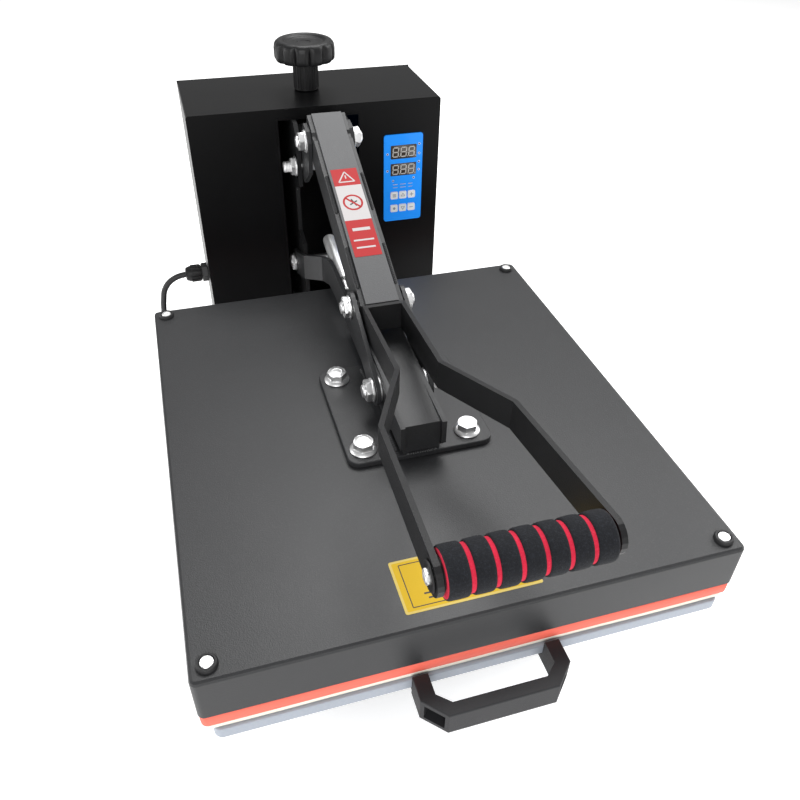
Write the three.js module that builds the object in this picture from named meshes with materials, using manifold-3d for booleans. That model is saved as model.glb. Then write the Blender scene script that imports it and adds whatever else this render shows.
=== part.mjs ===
// Clamshell heat press with a swinging upper platen, a toggle handle and a pull-out lower platen.
// Millimetres, +Z up, front towards -Y. Inside the root group the origin is the middle of the
// upper platen's top face; the root group then lifts everything so the feet stand on z = 0.
import * as THREE from 'three';
import { mergeVertices } from 'three/addons/utils/BufferGeometryUtils.js';
import Module from 'manifold-3d';

const wasm = await Module();
wasm.setup();

// General
const GAP = 0.3; // air between pieces that touch
const SHEET = 1.5; // folded sheet of the cover and the housing
const FLAT = 4; // flat bar of the arm, the fork and the yoke

// Upper platen
const PLATEN_W = 400;
const PLATEN_D = 440;
const COVER_H = 39;
const COVER_R = 5;
const HEATER_H = 16;

// Lower platen and its drawer
const PAD_H = 10.5;
const BACKING_H = 5;
const LOWER_H = 10.5;
const LOWER_INSET = 7.5;
const HANDLE_ROOT = 56;
const HANDLE_FRONT = 40.5;
const HANDLE_OUT = 36;
const HANDLE_H = 22;
const HANDLE_RISE = 4.5; // its top above the top of the lower platen
const HANDLE_WALL = 9.5;
const RUNNER_X = PLATEN_W * 0.24;
const RUNNER_W = 9.4;
const RUNNER_H = 20;
const RAIL_WALL = 3;
const RAIL_LEN = PLATEN_D * 0.68;

// Stand
const FOOT_H = 12;
const FOOT_R = 18;
const BASE_H = 30;
const BASE_RAIL_W = 40;
const TABLE_DROP = 216; // from the table up to the top of the upper platen

// Control box
const BOX_W = 272;
const BOX_D = 122;
const BOX_TOP = 165;
const BOX_BEHIND = 89.4; // from the platen's back edge to the front of the box
const SLOT_HALF = 44;
const SLOT_TOP = 154;
const PLATEN_BACK = PLATEN_D / 2;
const BOX_FRONT = PLATEN_BACK + BOX_BEHIND;
const BOX_BACK = BOX_FRONT + BOX_D;

// Pivots as [y, z]: A arm on bracket, B toggle, C link on yoke, D platen on columns
const PIVOT_A = [BOX_FRONT - 49.4, 148];
const PIVOT_C = [-3, 30];
const PIVOT_D = [BOX_FRONT + 12.6, -19];
const TOGGLE_AT = 0.7034; // where B lies between A and C when the toggle is locked
const GUIDE = [BOX_FRONT - 14.4, 109];
const SHAFT_R = 6;

// Layers out from the middle plane
const TUBE = 30;
const BAR_IN = TUBE / 2 + GAP;
const BAR_OUT = BAR_IN + FLAT;
const LINK_IN = BAR_OUT + 2;
const LINK_OUT = LINK_IN + 3.6;
const BRACKET_IN = BAR_OUT + 0.7;
const BRACKET_OUT = BRACKET_IN + FLAT;
const CHEEK_IN = BRACKET_OUT + 0.9;
const CHEEK_OUT = CHEEK_IN + 4.4;
const YOKE_IN = CHEEK_OUT + 0.6;
const YOKE_OUT = YOKE_IN + FLAT;

// Handle
const TUBE_ABOVE_A = TUBE - 11.4; // its underside stays clear of the yoke
const FORK_H = 25;
const GRIP_R = 16;
const GRIP_LEN = 103;
const GRIP_SHIFT = -0.4; // the foam sits against the left arm
const GRIP_AT = [-PLATEN_D / 2 - 28, 92];
const ARM_TILT = 24.11; // degrees the tube rises towards the back

// Pressure screw
const SCREW_Y = BOX_FRONT + 60.6;
const SCREW_R = 7;
const KNOB_R = 32.5;
const KNOB_TOP = 216;
const KNOB_H = 21;

// Display
const PANEL_W = 45;
const PANEL_H = 102;
const PANEL_X = 94;
const PANEL_Z = 77;
const KEY = 8.7;
const KEY_X = [0.27, 0.5, 0.73];
const KEY_Z = [0.69, 0.845];

// Cord
const CORD_R = 3.5;
const COIL_R = 42;
const COIL_THICK = 9;

// Tied sizes
const PAD_TOP = -COVER_H - 1;
const BACKING_TOP = PAD_TOP - PAD_H - GAP;
const LOWER_TOP = BACKING_TOP - BACKING_H - GAP;
const LOWER_BOTTOM = LOWER_TOP - LOWER_H;
const RUNNER_BOTTOM = LOWER_BOTTOM - GAP - RUNNER_H;
const BED_TOP = RUNNER_BOTTOM - GAP - RAIL_WALL - GAP;
const BED_H = 6;
const TABLE = -TABLE_DROP;
const BASE_BOTTOM = TABLE + FOOT_H;
const BASE_TOP = BASE_BOTTOM + BASE_H;
const STAND_ON = BASE_TOP + GAP;
const GRIP_FRONT = GRIP_AT[0] - GRIP_R;
const ALONG_AC = [PIVOT_C[0] - PIVOT_A[0], PIVOT_C[1] - PIVOT_A[1]];
const PIVOT_B = [PIVOT_A[0] + TOGGLE_AT * ALONG_AC[0], PIVOT_A[1] + TOGGLE_AT * ALONG_AC[1]];
const SLOPE = (ARM_TILT * Math.PI) / 180;
const ARM_REACH = Math.hypot(PIVOT_A[0] - PIVOT_B[0], PIVOT_A[1] - PIVOT_B[1]) + 12;

const POWDER = { color: 0x34363a, roughness: 0.55, metalness: 0.4 };
const BOX_PAINT = { color: 0x1d1e20, roughness: 0.4, metalness: 0.3 };
const ARM_PAINT = { color: 0x4a4c50, roughness: 0.5, metalness: 0.4 };
const ZINC = { color: 0xc9ccd0, roughness: 0.25, metalness: 1.0 };
const STEEL = { color: 0x8d9094, roughness: 0.35, metalness: 1.0 };
const PLASTIC = { color: 0x17181a, roughness: 0.6, metalness: 0.0 };
const RUBBER = { color: 0x111214, roughness: 0.85, metalness: 0.0 };
const FOAM = { color: 0x1d2430, roughness: 0.95, metalness: 0.0 };
const SILICONE = { color: 0xd6483a, roughness: 0.7, metalness: 0.0 };
const FELT = { color: 0xe6dcc0, roughness: 0.9, metalness: 0.0 };
const CAST = { color: 0xa9b3bd, roughness: 0.45, metalness: 0.8 };
const BLUE = { color: 0x2b5fb0, roughness: 0.35, metalness: 0.0 };
const WHITE = { color: 0xeceef0, roughness: 0.4, metalness: 0.0 };

function solid(geometry) {
  const bare = geometry.index ? geometry.toNonIndexed() : geometry.clone();
  bare.deleteAttribute('normal');
  bare.deleteAttribute('uv');
  const merged = mergeVertices(bare, 1e-4);
  const mesh = new wasm.Mesh({
    numProp: 3,
    vertProperties: new Float32Array(merged.attributes.position.array),
    triVerts: new Uint32Array(merged.index.array),
  });
  return new wasm.Manifold(mesh);
}

function join(parts) {
  return parts.reduce((sum, part) => sum.add(part));
}

function cut(body, tools) {
  return tools.reduce((left, tool) => left.subtract(tool), body);
}

function named(name, body, finish) {
  const out = body.getMesh();
  const geometry = new THREE.BufferGeometry();
  geometry.setAttribute('position', new THREE.BufferAttribute(new Float32Array(out.vertProperties), 3));
  geometry.setIndex(new THREE.BufferAttribute(new Uint32Array(out.triVerts), 1));
  const flat = geometry.toNonIndexed();
  flat.computeVertexNormals();
  const mesh = new THREE.Mesh(flat, new THREE.MeshStandardMaterial(finish));
  mesh.name = name;
  return mesh;
}

// A box between two corners.
function box(x0, x1, y0, y1, z0, z1) {
  const geometry = new THREE.BoxGeometry(x1 - x0, y1 - y0, z1 - z0);
  geometry.translate((x0 + x1) / 2, (y0 + y1) / 2, (z0 + z1) / 2);
  return solid(geometry);
}

function outline(points) {
  return new THREE.Shape(points.map(([a, b]) => new THREE.Vector2(a, b)));
}

// A rectangle with round corners, as an outline around (0, 0).
function roundedRect(w, d, r) {
  const shape = new THREE.Shape();
  shape.moveTo(-w / 2 + r, -d / 2);
  shape.lineTo(w / 2 - r, -d / 2);
  shape.absarc(w / 2 - r, -d / 2 + r, r, -Math.PI / 2, 0);
  shape.absarc(w / 2 - r, d / 2 - r, r, 0, Math.PI / 2);
  shape.absarc(-w / 2 + r, d / 2 - r, r, Math.PI / 2, Math.PI);
  shape.absarc(-w / 2 + r, -d / 2 + r, r, Math.PI, Math.PI * 1.5);
  return shape;
}

// A slab lying flat, its top at z, with round corners and softened edges.
function slab(w, d, top, h, r, soft) {
  const shape = roundedRect(w - 2 * soft, d - 2 * soft, Math.max(r - soft, 0.2));
  const options = { depth: h - 2 * soft, curveSegments: 3, bevelEnabled: soft > 0 };
  Object.assign(options, { bevelThickness: soft, bevelSize: soft, bevelSegments: 2 });
  const geometry = new THREE.ExtrudeGeometry(shape, options);
  geometry.translate(0, 0, top - h + soft);
  return solid(geometry);
}

// A plate whose outline is in (y, z), from x0 to x1.
function plate(shape, x0, x1) {
  const options = { depth: x1 - x0, curveSegments: 8, bevelEnabled: false };
  const geometry = new THREE.ExtrudeGeometry(shape, options);
  const turn = new THREE.Matrix4();
  turn.makeBasis(new THREE.Vector3(0, 1, 0), new THREE.Vector3(0, 0, 1), new THREE.Vector3(1, 0, 0));
  geometry.applyMatrix4(turn);
  geometry.translate(x0, 0, 0);
  return solid(geometry);
}

// A round bar along x.
function rod(r, x0, x1, [y, z], sides = 16) {
  const geometry = new THREE.CylinderGeometry(r, r, x1 - x0, sides);
  geometry.rotateZ(Math.PI / 2);
  geometry.translate((x0 + x1) / 2, y, z);
  return solid(geometry);
}

// A body turned about z from a profile of [radius, z].
function turned(profile, x = 0, y = 0, sides = 32) {
  const geometry = new THREE.LatheGeometry(profile.map(([a, b]) => new THREE.Vector2(a, b)), sides);
  geometry.rotateX(Math.PI / 2);
  geometry.translate(x, y, 0);
  return solid(geometry);
}

// A body turned about x from a profile of [radius, x].
function turnedX(profile, [y, z], sides = 28) {
  const geometry = new THREE.LatheGeometry(profile.map(([a, b]) => new THREE.Vector2(a, b)), sides);
  geometry.rotateZ(-Math.PI / 2);
  geometry.translate(0, y, z);
  return solid(geometry);
}

// A bar with round ends between two points of the (y, z) plane.
function linkShape([y0, z0], [y1, z1], half) {
  const along = Math.atan2(z1 - z0, y1 - y0);
  const shape = new THREE.Shape();
  shape.absarc(y0, z0, half, along + Math.PI / 2, along + Math.PI * 1.5);
  shape.absarc(y1, z1, half, along - Math.PI / 2, along + Math.PI / 2);
  return shape;
}

// A flat bar standing on edge along stations of [x, y, z of its centre], mitred at the bends.
function flatBar(stations, thick, high) {
  const sides = stations.map(([x, y], i) => {
    const before = stations[Math.max(i - 1, 0)];
    const after = stations[Math.min(i + 1, stations.length - 1)];
    const d0 = new THREE.Vector2(x - before[0], y - before[1]);
    const d1 = new THREE.Vector2(after[0] - x, after[1] - y);
    const first = (d0.length() > 0 ? d0 : d1).clone().normalize();
    const last = (d1.length() > 0 ? d1 : d0).clone().normalize();
    const n = new THREE.Vector2(-first.y - last.y, first.x + last.x).normalize();
    const reach = thick / 2 / Math.max(n.dot(new THREE.Vector2(-first.y, first.x)), 0.3);
    return [n.x * reach, n.y * reach];
  });
  const points = [];
  stations.forEach(([x, y, z], i) => {
    const [nx, ny] = sides[i];
    points.push([x + nx, y + ny, z - high / 2], [x - nx, y - ny, z - high / 2]);
    points.push([x - nx, y - ny, z + high / 2], [x + nx, y + ny, z + high / 2]);
  });
  const faces = [];
  const last = (stations.length - 1) * 4;
  for (let s = 0; s < last; s += 4) {
    for (let k = 0; k < 4; k += 1) {
      const a = s + k;
      const b = s + ((k + 1) % 4);
      faces.push(a, b, b + 4, a, b + 4, a + 4);
    }
  }
  faces.push(0, 2, 1, 0, 3, 2, last, last + 1, last + 2, last, last + 2, last + 3);
  const geometry = new THREE.BufferGeometry();
  geometry.setAttribute('position', new THREE.Float32BufferAttribute(points.flat(), 3));
  geometry.setIndex(faces);
  const body = solid(geometry);
  if (body.volume() > 0) {
    return body;
  }
  geometry.setIndex(faces.map((_, i) => faces[i - (i % 3) + 2 - (i % 3)]));
  return solid(geometry);
}

// One end of a pivot bolt on the +x side: washer, hexagon and the tip of the shaft.
function boltEnd(inner, outer, at, washer) {
  const face = inner + GAP;
  return join([
    rod(washer, face, face + 1.7, at, 20),
    rod(9.6, face + 1.6, outer - 2.2, at, 6),
    rod(SHAFT_R, outer - 2.4, outer, at),
  ]);
}

function mirrored(body) {
  return body.mirror([1, 0, 0]);
}

// A bolt right through, with a nut and a washer at both ends.
function crossBolt(name, at, inner, outer, washer = 10.5, tip = 0) {
  const end = boltEnd(inner, outer, at, washer);
  return named(name, join([rod(SHAFT_R, -outer - tip, outer, at), end, mirrored(end)]), ZINC);
}

function bore(at, from = -60, to = 60, r = SHAFT_R + GAP) {
  return rod(r, from, to, at);
}

// ---- stand ----

function baseFrame() {
  const inner = BOX_W / 2 - BASE_RAIL_W;
  const front = -PLATEN_D * 0.285;
  const back = BOX_BACK - 2;
  const parts = [];
  for (const side of [-1, 1]) {
    const rail = [side * inner, side * (inner + BASE_RAIL_W)].sort((a, b) => a - b);
    parts.push(box(rail[0], rail[1], front, back, BASE_BOTTOM, BASE_TOP));
  }
  for (const y of [front, BOX_FRONT - 60, back - BASE_RAIL_W]) {
    parts.push(box(-inner - 1, inner + 1, y, y + BASE_RAIL_W, BASE_BOTTOM + 4, BASE_TOP - 1));
  }
  parts.push(box(-BOX_W / 2, BOX_W / 2, BOX_FRONT - 30, back, BASE_TOP - 6, BASE_TOP));
  parts.push(box(-BOX_W / 2, BOX_W / 2, -75, 75, BASE_TOP - 6, BASE_TOP));
  return [named('base_frame', join(parts), POWDER)];
}

function feet() {
  const x = BOX_W / 2 - BASE_RAIL_W / 2;
  const front = -PLATEN_D * 0.285 + 22;
  const out = [];
  for (const [name, sx, y] of [
    ['foot_front_left', -1, front],
    ['foot_front_right', 1, front],
    ['foot_back_left', -1, BOX_BACK - 24],
    ['foot_back_right', 1, BOX_BACK - 24],
  ]) {
    const top = BASE_BOTTOM - GAP;
    const profile = [[0, TABLE], [FOOT_R - 2, TABLE], [FOOT_R, TABLE + 2], [FOOT_R - 3, top], [0, top]];
    out.push(named(name, turned(profile, sx * x, y, 18), RUBBER));
  }
  return out;
}

function pedestal() {
  const top = BED_TOP - BED_H - GAP;
  const body = join([
    box(-60, 60, -60, 60, STAND_ON, top),
    box(-75, 75, -72, 72, STAND_ON, STAND_ON + 5),
    box(-75, 75, -72, 72, top - 5, top),
  ]);
  return [named('pedestal', cut(body, [box(-55, 55, -55, 55, STAND_ON - 1, top + 1)]), POWDER)];
}

function bedPlate() {
  const w = RUNNER_X * 2 + 2 * RUNNER_W + 12;
  const body = slab(w, RAIL_LEN, BED_TOP, BED_H, 6, 0.8);
  return [named('bed_plate', body, POWDER)];
}

function slideRails() {
  const half = RUNNER_W / 2 + GAP + RAIL_WALL;
  const z0 = BED_TOP + GAP;
  const out = [];
  for (const [name, side] of [['slide_rail_left', -1], ['slide_rail_right', 1]]) {
    const x = side * RUNNER_X;
    const body = box(x - half, x + half, -RAIL_LEN / 2, RAIL_LEN / 2, z0, z0 + 15);
    const clear = half - RAIL_WALL;
    const groove = box(x - clear, x + clear, -RAIL_LEN, RAIL_LEN, z0 + RAIL_WALL, z0 + 20);
    out.push(named(name, cut(body, [groove]), STEEL));
  }
  return out;
}

// The heights between which the columns' front edge steps back for the yoke to swing up.
const BAY = [22, 90];

function cheeks() {
  const y0 = BOX_FRONT - 24;
  const y1 = SCREW_Y + 35;
  const top = BOX_TOP - SHEET - 5.5;
  const step = BOX_FRONT + SHEET + GAP;
  const shape = outline([
    [y0 - 5, STAND_ON], [y0 - 5, STAND_ON + 40], [y0, STAND_ON + 60], [y0, BAY[0]], [BOX_FRONT, BAY[0] + 5],
    [BOX_FRONT, BAY[1] - 12], [y0, BAY[1]], [y0, SLOT_TOP - 12],
    [y0 + 12, SLOT_TOP - GAP], [step, SLOT_TOP - GAP], [step, top], [y1, top], [y1, STAND_ON],
  ]);
  const slot = linkShape([GUIDE[0], GUIDE[1] - 7], [GUIDE[0], GUIDE[1] + 7], SHAFT_R + GAP);
  const tools = [bore(PIVOT_D, 0), plate(slot, 0, 60)];
  const right = cut(plate(shape, CHEEK_IN, CHEEK_OUT), tools);
  return [named('column_right', right, POWDER), named('column_left', mirrored(right), POWDER)];
}

function screwBridge() {
  const half = CHEEK_IN - GAP;
  const top = BOX_TOP - SHEET - 6;
  const body = box(-half, half, SCREW_Y - 22, SCREW_Y + 22, top - 11, top);
  const r = SCREW_R + GAP;
  const hole = turned([[0, top - 20], [r, top - 20], [r, top + 20], [0, top + 20]], 0, SCREW_Y);
  return [named('screw_bridge', cut(body, [hole]), STEEL)];
}

// ---- control box ----

function housing() {
  const w = BOX_W / 2;
  const back = BOX_BACK - SHEET - GAP;
  const outer = join([box(-w, w, BOX_FRONT, back, STAND_ON, BOX_TOP)]);
  const soft = new THREE.ExtrudeGeometry(roundedRect(BOX_W, BOX_TOP - STAND_ON, 3), {
    depth: back - BOX_FRONT, curveSegments: 3, bevelEnabled: false,
  });
  soft.rotateX(Math.PI / 2);
  soft.translate(0, back, (BOX_TOP + STAND_ON) / 2);
  const flatBottom = box(-w, w, BOX_FRONT, back, STAND_ON, STAND_ON + 10);
  const shell = join([outer.intersect(solid(soft)), flatBottom]);
  const hollow = box(-w + SHEET, w - SHEET, BOX_FRONT + SHEET, back + 1, STAND_ON - 1, BOX_TOP - SHEET);
  const slot = box(-SLOT_HALF, SLOT_HALF, BOX_FRONT - 1, BOX_FRONT + SHEET + 1, STAND_ON - 1, SLOT_TOP);
  const screw = turned([[0, 100], [SCREW_R + 2, 100], [SCREW_R + 2, 200], [0, 200]], 0, SCREW_Y);
  const wide = PANEL_W / 2 - 1.2;
  const tall = PANEL_H / 2 - 1.2;
  const front = [BOX_FRONT - 1, BOX_FRONT + 3];
  const window = box(PANEL_X - wide, PANEL_X + wide, ...front, PANEL_Z - tall, PANEL_Z + tall);
  const gland = bore([SCREW_Y, -44], -w - 1, -w + 3, 8.3);
  const rocker = box(w - 3, w + 1, SCREW_Y - 12.3, SCREW_Y + 12.3, -109.3, -80.7);
  return [named('housing_shell', cut(shell, [hollow, slot, screw, window, gland, rocker]), BOX_PAINT)];
}

const VENT_Z = [-166, -132]; // low enough to be out of sight through the slot

function housingBack() {
  const w = BOX_W / 2;
  const body = box(-w, w, BOX_BACK - SHEET, BOX_BACK, STAND_ON, BOX_TOP);
  const tools = [];
  for (let i = 0; i < 8; i += 1) {
    const x = -59.5 + i * 17;
    tools.push(box(x - 2.5, x + 2.5, BOX_BACK - 5, BOX_BACK + 5, VENT_Z[0], VENT_Z[1]));
  }
  return [named('housing_back', cut(body, tools), BOX_PAINT)];
}

function keyPlaces() {
  const out = [];
  KEY_Z.forEach((down, row) => {
    KEY_X.forEach((across, column) => {
      const x = PANEL_X + (across - 0.5) * PANEL_W;
      out.push([`key_${row * 3 + column + 1}`, x, PANEL_Z + (0.5 - down) * PANEL_H]);
    });
  });
  return out;
}

function upright(shape, y0, y1) {
  const options = { depth: y1 - y0, curveSegments: 2, bevelEnabled: false };
  const geometry = new THREE.ExtrudeGeometry(shape, options);
  geometry.rotateX(Math.PI / 2);
  geometry.translate(0, y1, 0);
  return solid(geometry);
}

function displayPanel() {
  const front = BOX_FRONT - GAP;
  const face = upright(roundedRect(PANEL_W, PANEL_H, 3), front - 1.5, front);
  const inside = upright(roundedRect(PANEL_W - 3, PANEL_H - 3, 2), front - 0.1, front + 11);
  const opening = upright(roundedRect(KEY + 0.7, KEY + 0.7, 1.8), front - 5, front + 4);
  const tools = keyPlaces().map(([, x, z]) => opening.translate([x - PANEL_X, 0, z - PANEL_Z]));
  const body = cut(join([face, inside]), tools).translate([PANEL_X, 0, PANEL_Z]);
  return [named('display_panel', body, BLUE)];
}

function keys() {
  const front = BOX_FRONT - GAP - 1.5;
  return keyPlaces().map(([name, x, z]) => {
    const body = upright(roundedRect(KEY, KEY, 1.5), front - 1.2, front + 4.2).translate([x, 0, z]);
    return named(name, body, WHITE);
  });
}

function powerSwitch() {
  const w = BOX_W / 2;
  const at = [SCREW_Y, -95];
  const frame = join([
    box(w + GAP, w + GAP + 2, at[0] - 15, at[0] + 15, at[1] - 17, at[1] + 17),
    box(w - 14, w + GAP + 1, at[0] - 12, at[0] + 12, at[1] - 14, at[1] + 14),
  ]);
  const pocket = box(w - 8, w + 5, at[0] - 9, at[0] + 9, at[1] - 12.2, at[1] + 12.2);
  const pin = [[at[0], at[1] - 10.2], [at[0], at[1] + 10.2]];
  const shape = outline([
    [w + 4.2, pin[0][1]], [w + 1.5, at[1] + 1], [w + 2.4, pin[1][1]],
    [w - 2, pin[1][1]], [w - 4.5, at[1]], [w - 2, pin[0][1]],
  ]);
  const geometry = new THREE.ExtrudeGeometry(shape, { depth: 17, bevelEnabled: false });
  geometry.rotateX(Math.PI / 2);
  geometry.translate(0, at[0] + 8.5, 0);
  return [
    named('switch_frame', cut(frame, [pocket]), PLASTIC),
    named('power_rocker', solid(geometry), PLASTIC),
  ];
}

// ---- cord ----

const GLAND = [SCREW_Y, -44];
const GLAND_TIP = BOX_W / 2 + 27;

function gland() {
  const w = BOX_W / 2;
  const profile = [
    [CORD_R + 2 * GAP, -GLAND_TIP], [7.4, -GLAND_TIP], [9.5, -GLAND_TIP + 3], [9.5, -w - 8], [11, -w - 8],
    [11, -w - GAP], [8, -w - GAP], [8, -w + 8], [CORD_R + 2 * GAP, -w + 8],
    [CORD_R + 2 * GAP, -GLAND_TIP],
  ];
  return [named('cable_gland', turnedX(profile, GLAND, 18), PLASTIC)];
}

const FLOOR = TABLE + CORD_R + 0.6;
const COIL = [-BOX_W * 0.26, BOX_BACK + 66];
const COIL_SIDE = COIL[0] - COIL_R - COIL_THICK - CORD_R - GAP;
const ROUTE = [
  [-GLAND_TIP + 16, GLAND[0], GLAND[1]],
  [-GLAND_TIP - 1, GLAND[0], GLAND[1] - 0.2],
  [-GLAND_TIP - 13, GLAND[0], GLAND[1] - 5],
  [-GLAND_TIP - 22, GLAND[0], GLAND[1] - 17],
  [-GLAND_TIP - 27, GLAND[0] + 1, GLAND[1] - 36],
  [-GLAND_TIP - 33, GLAND[0] + 2, GLAND[1] - 56],
  [-GLAND_TIP - 40, GLAND[0] + 5, GLAND[1] - 76],
  [-GLAND_TIP - 39, GLAND[0] + 10, GLAND[1] - 99],
  [-GLAND_TIP - 30, GLAND[0] + 20, GLAND[1] - 122],
  [-GLAND_TIP - 16, GLAND[0] + 36, FLOOR + 25],
  [-GLAND_TIP, GLAND[0] + 56, FLOOR + 8],
  [-GLAND_TIP + 16, GLAND[0] + 79, FLOOR],
  [-GLAND_TIP + 30, COIL[1] - 28, FLOOR],
  [COIL_SIDE, COIL[1] - 12, FLOOR],
  [COIL_SIDE, COIL[1], FLOOR],
];

function cord() {
  const path = new THREE.CatmullRomCurve3(ROUTE.map((p) => new THREE.Vector3(...p)), false, 'centripetal');
  const ring = new THREE.Shape();
  ring.absarc(0, 0, CORD_R, 0, Math.PI * 2);
  const tube = new THREE.ExtrudeGeometry(ring, { extrudePath: path, steps: 60, curveSegments: 4 });
  const around = [[COIL_R - COIL_THICK, 0], [COIL_R - 5, -COIL_THICK], [COIL_R + 5, -COIL_THICK]];
  around.push([COIL_R + COIL_THICK, 0], [COIL_R + 5, COIL_THICK], [COIL_R - 5, COIL_THICK], around[0]);
  const coil = turned(around, COIL[0], COIL[1], 32).translate([0, 0, TABLE + COIL_THICK + GAP]);
  const px = COIL[0] + COIL_R - 7.4;
  const py = COIL[1] + COIL_R + 2 * CORD_R;
  const plug = join([
    box(px, px + 34, py - 11, py + 11, TABLE + GAP, TABLE + 22),
    box(px + 33, px + 52, py - 8.5, py - 2.5, TABLE + 9, TABLE + 13),
    box(px + 33, px + 52, py + 2.5, py + 8.5, TABLE + 9, TABLE + 13),
  ]);
  return [
    named('power_cord', solid(tube), RUBBER),
    named('cord_coil', coil, RUBBER),
    named('mains_plug', plug, PLASTIC),
  ];
}

// ---- pressure screw ----

function knob() {
  const under = KNOB_TOP - KNOB_H;
  const shape = new THREE.Shape();
  const steps = 60;
  for (let i = 0; i < steps; i += 1) {
    const a = (i / steps) * Math.PI * 2;
    const r = KNOB_R - 4 + Math.min(2, 2.6 * Math.abs(Math.cos(6 * a)));
    const p = [r * Math.cos(a), r * Math.sin(a)];
    if (i === 0) {
      shape.moveTo(...p);
    } else {
      shape.lineTo(...p);
    }
  }
  const rim = new THREE.ExtrudeGeometry(shape, {
    depth: KNOB_H - 4, bevelEnabled: true, bevelThickness: 2, bevelSize: 2, bevelSegments: 1,
  });
  rim.translate(0, 0, under + 2);
  const stem = [[0, BOX_TOP + GAP], [13.3, BOX_TOP + GAP], [13.3, under + 1], [0, under + 1]];
  const dish = [[0, KNOB_TOP - 4], [20, KNOB_TOP - 2.4], [23.5, KNOB_TOP + 1], [0, KNOB_TOP + 1]];
  const r = SCREW_R + GAP;
  const hole = [[0, BOX_TOP - 5], [r, BOX_TOP - 5], [r, KNOB_TOP - 8], [0, KNOB_TOP - 8]];
  const body = cut(join([solid(rim), turned(stem, 0, 0, 24)]), [turned(dish, 0, 0, 28), turned(hole)]);
  return [named('pressure_knob', body.translate([0, SCREW_Y, 0]), PLASTIC)];
}

function screw() {
  const profile = [[0, 84], [SCREW_R - 1, 84], [SCREW_R, 86], [SCREW_R, KNOB_TOP - 9], [0, KNOB_TOP - 9]];
  return [named('pressure_screw', turned(profile, 0, SCREW_Y, 20), STEEL)];
}

function bracket() {
  const back = SCREW_Y + 20;
  const shape = outline([
    [PIVOT_A[0] - 11, 118], [PIVOT_A[0] - 14, 150], [PIVOT_A[0] - 8, 160], [PIVOT_A[0] + 8, 163],
    [PIVOT_A[0] + 20, 150], [PIVOT_A[0] + 34, 138], [back, 138], [back, 97], [PIVOT_A[0] + 18, 97],
  ]);
  const right = plate(shape, BRACKET_IN, BRACKET_OUT);
  const block = box(-BRACKET_IN - 1, BRACKET_IN + 1, SCREW_Y - 20, back, 100, 134);
  const hole = turned([[0, 80], [SCREW_R + GAP, 80], [SCREW_R + GAP, 150], [0, 150]], 0, SCREW_Y);
  const body = cut(join([right, mirrored(right), block]), [hole, bore(PIVOT_A), bore(GUIDE)]);
  return [
    named('pressure_bracket', body, POWDER),
    crossBolt('guide_bolt', GUIDE, CHEEK_OUT, CHEEK_OUT + 9, 9, 5),
  ];
}

// ---- handle ----

// Turns a point of the arm's own plane (along the tube, across it) into [y, z].
function onArm(along, across) {
  const c = Math.cos(SLOPE);
  const s = Math.sin(SLOPE);
  return [PIVOT_A[0] + along * c - across * s, PIVOT_A[1] + along * s + across * c];
}

function armTube() {
  const reach = ARM_REACH;
  const low = TUBE_ABOVE_A - TUBE;
  const corners = [onArm(-reach, low), onArm(17, low), onArm(17, TUBE_ABOVE_A), onArm(-reach, TUBE_ABOVE_A)];
  const inside = [
    onArm(-reach - 5, low + 2.5), onArm(25, low + 2.5),
    onArm(25, TUBE_ABOVE_A - 2.5), onArm(-reach - 5, TUBE_ABOVE_A - 2.5),
  ];
  const body = cut(plate(outline(corners), -TUBE / 2, TUBE / 2), [
    plate(outline(inside), -TUBE / 2 + 2.5, TUBE / 2 - 2.5),
    bore(PIVOT_A),
    bore(PIVOT_B),
  ]);
  return [named('arm_tube', body, ARM_PAINT)];
}

function armBars() {
  const reach = ARM_REACH;
  const shape = outline([
    onArm(-reach, -10.9), onArm(2, -13.4), onArm(10, -9.5), onArm(14, -2), onArm(18, 4),
    onArm(18, TUBE_ABOVE_A - 2.5),
    onArm(-6, TUBE_ABOVE_A - 2.5), onArm(-9, TUBE_ABOVE_A - 5), onArm(-14, TUBE_ABOVE_A - 5),
    onArm(-17, TUBE_ABOVE_A - 2.5), onArm(-reach, TUBE_ABOVE_A - 2.5),
  ]);
  const right = cut(plate(shape, BAR_IN, BAR_OUT), [bore(PIVOT_A), bore(PIVOT_B)]);
  return [named('arm_bar_right', right, POWDER), named('arm_bar_left', mirrored(right), POWDER)];
}

function fork() {
  const y0 = onArm(-ARM_REACH, -12)[0] - 17;
  const low = FORK_H / 2;
  const half = GRIP_LEN / 2 + 4;
  const leg = [
    [0, y0, 77.5 - low], [17, y0, 77.5 - low], [17.5, y0 - 99.6, 82.8 - low],
    [half - 6, y0 - 168.7, 90.5 - low], [half, GRIP_AT[0], GRIP_AT[1]],
  ];
  const right = flatBar(leg, FLAT, FORK_H);
  const left = mirrored(right);
  const eye = rod(FORK_H / 2, half - 2, half + 2, GRIP_AT, 20);
  const body = cut(join([right, left, eye, mirrored(eye)]), [bore(GRIP_AT, -90, 90)]);
  return [named('handle_fork', body, POWDER)];
}

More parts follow.
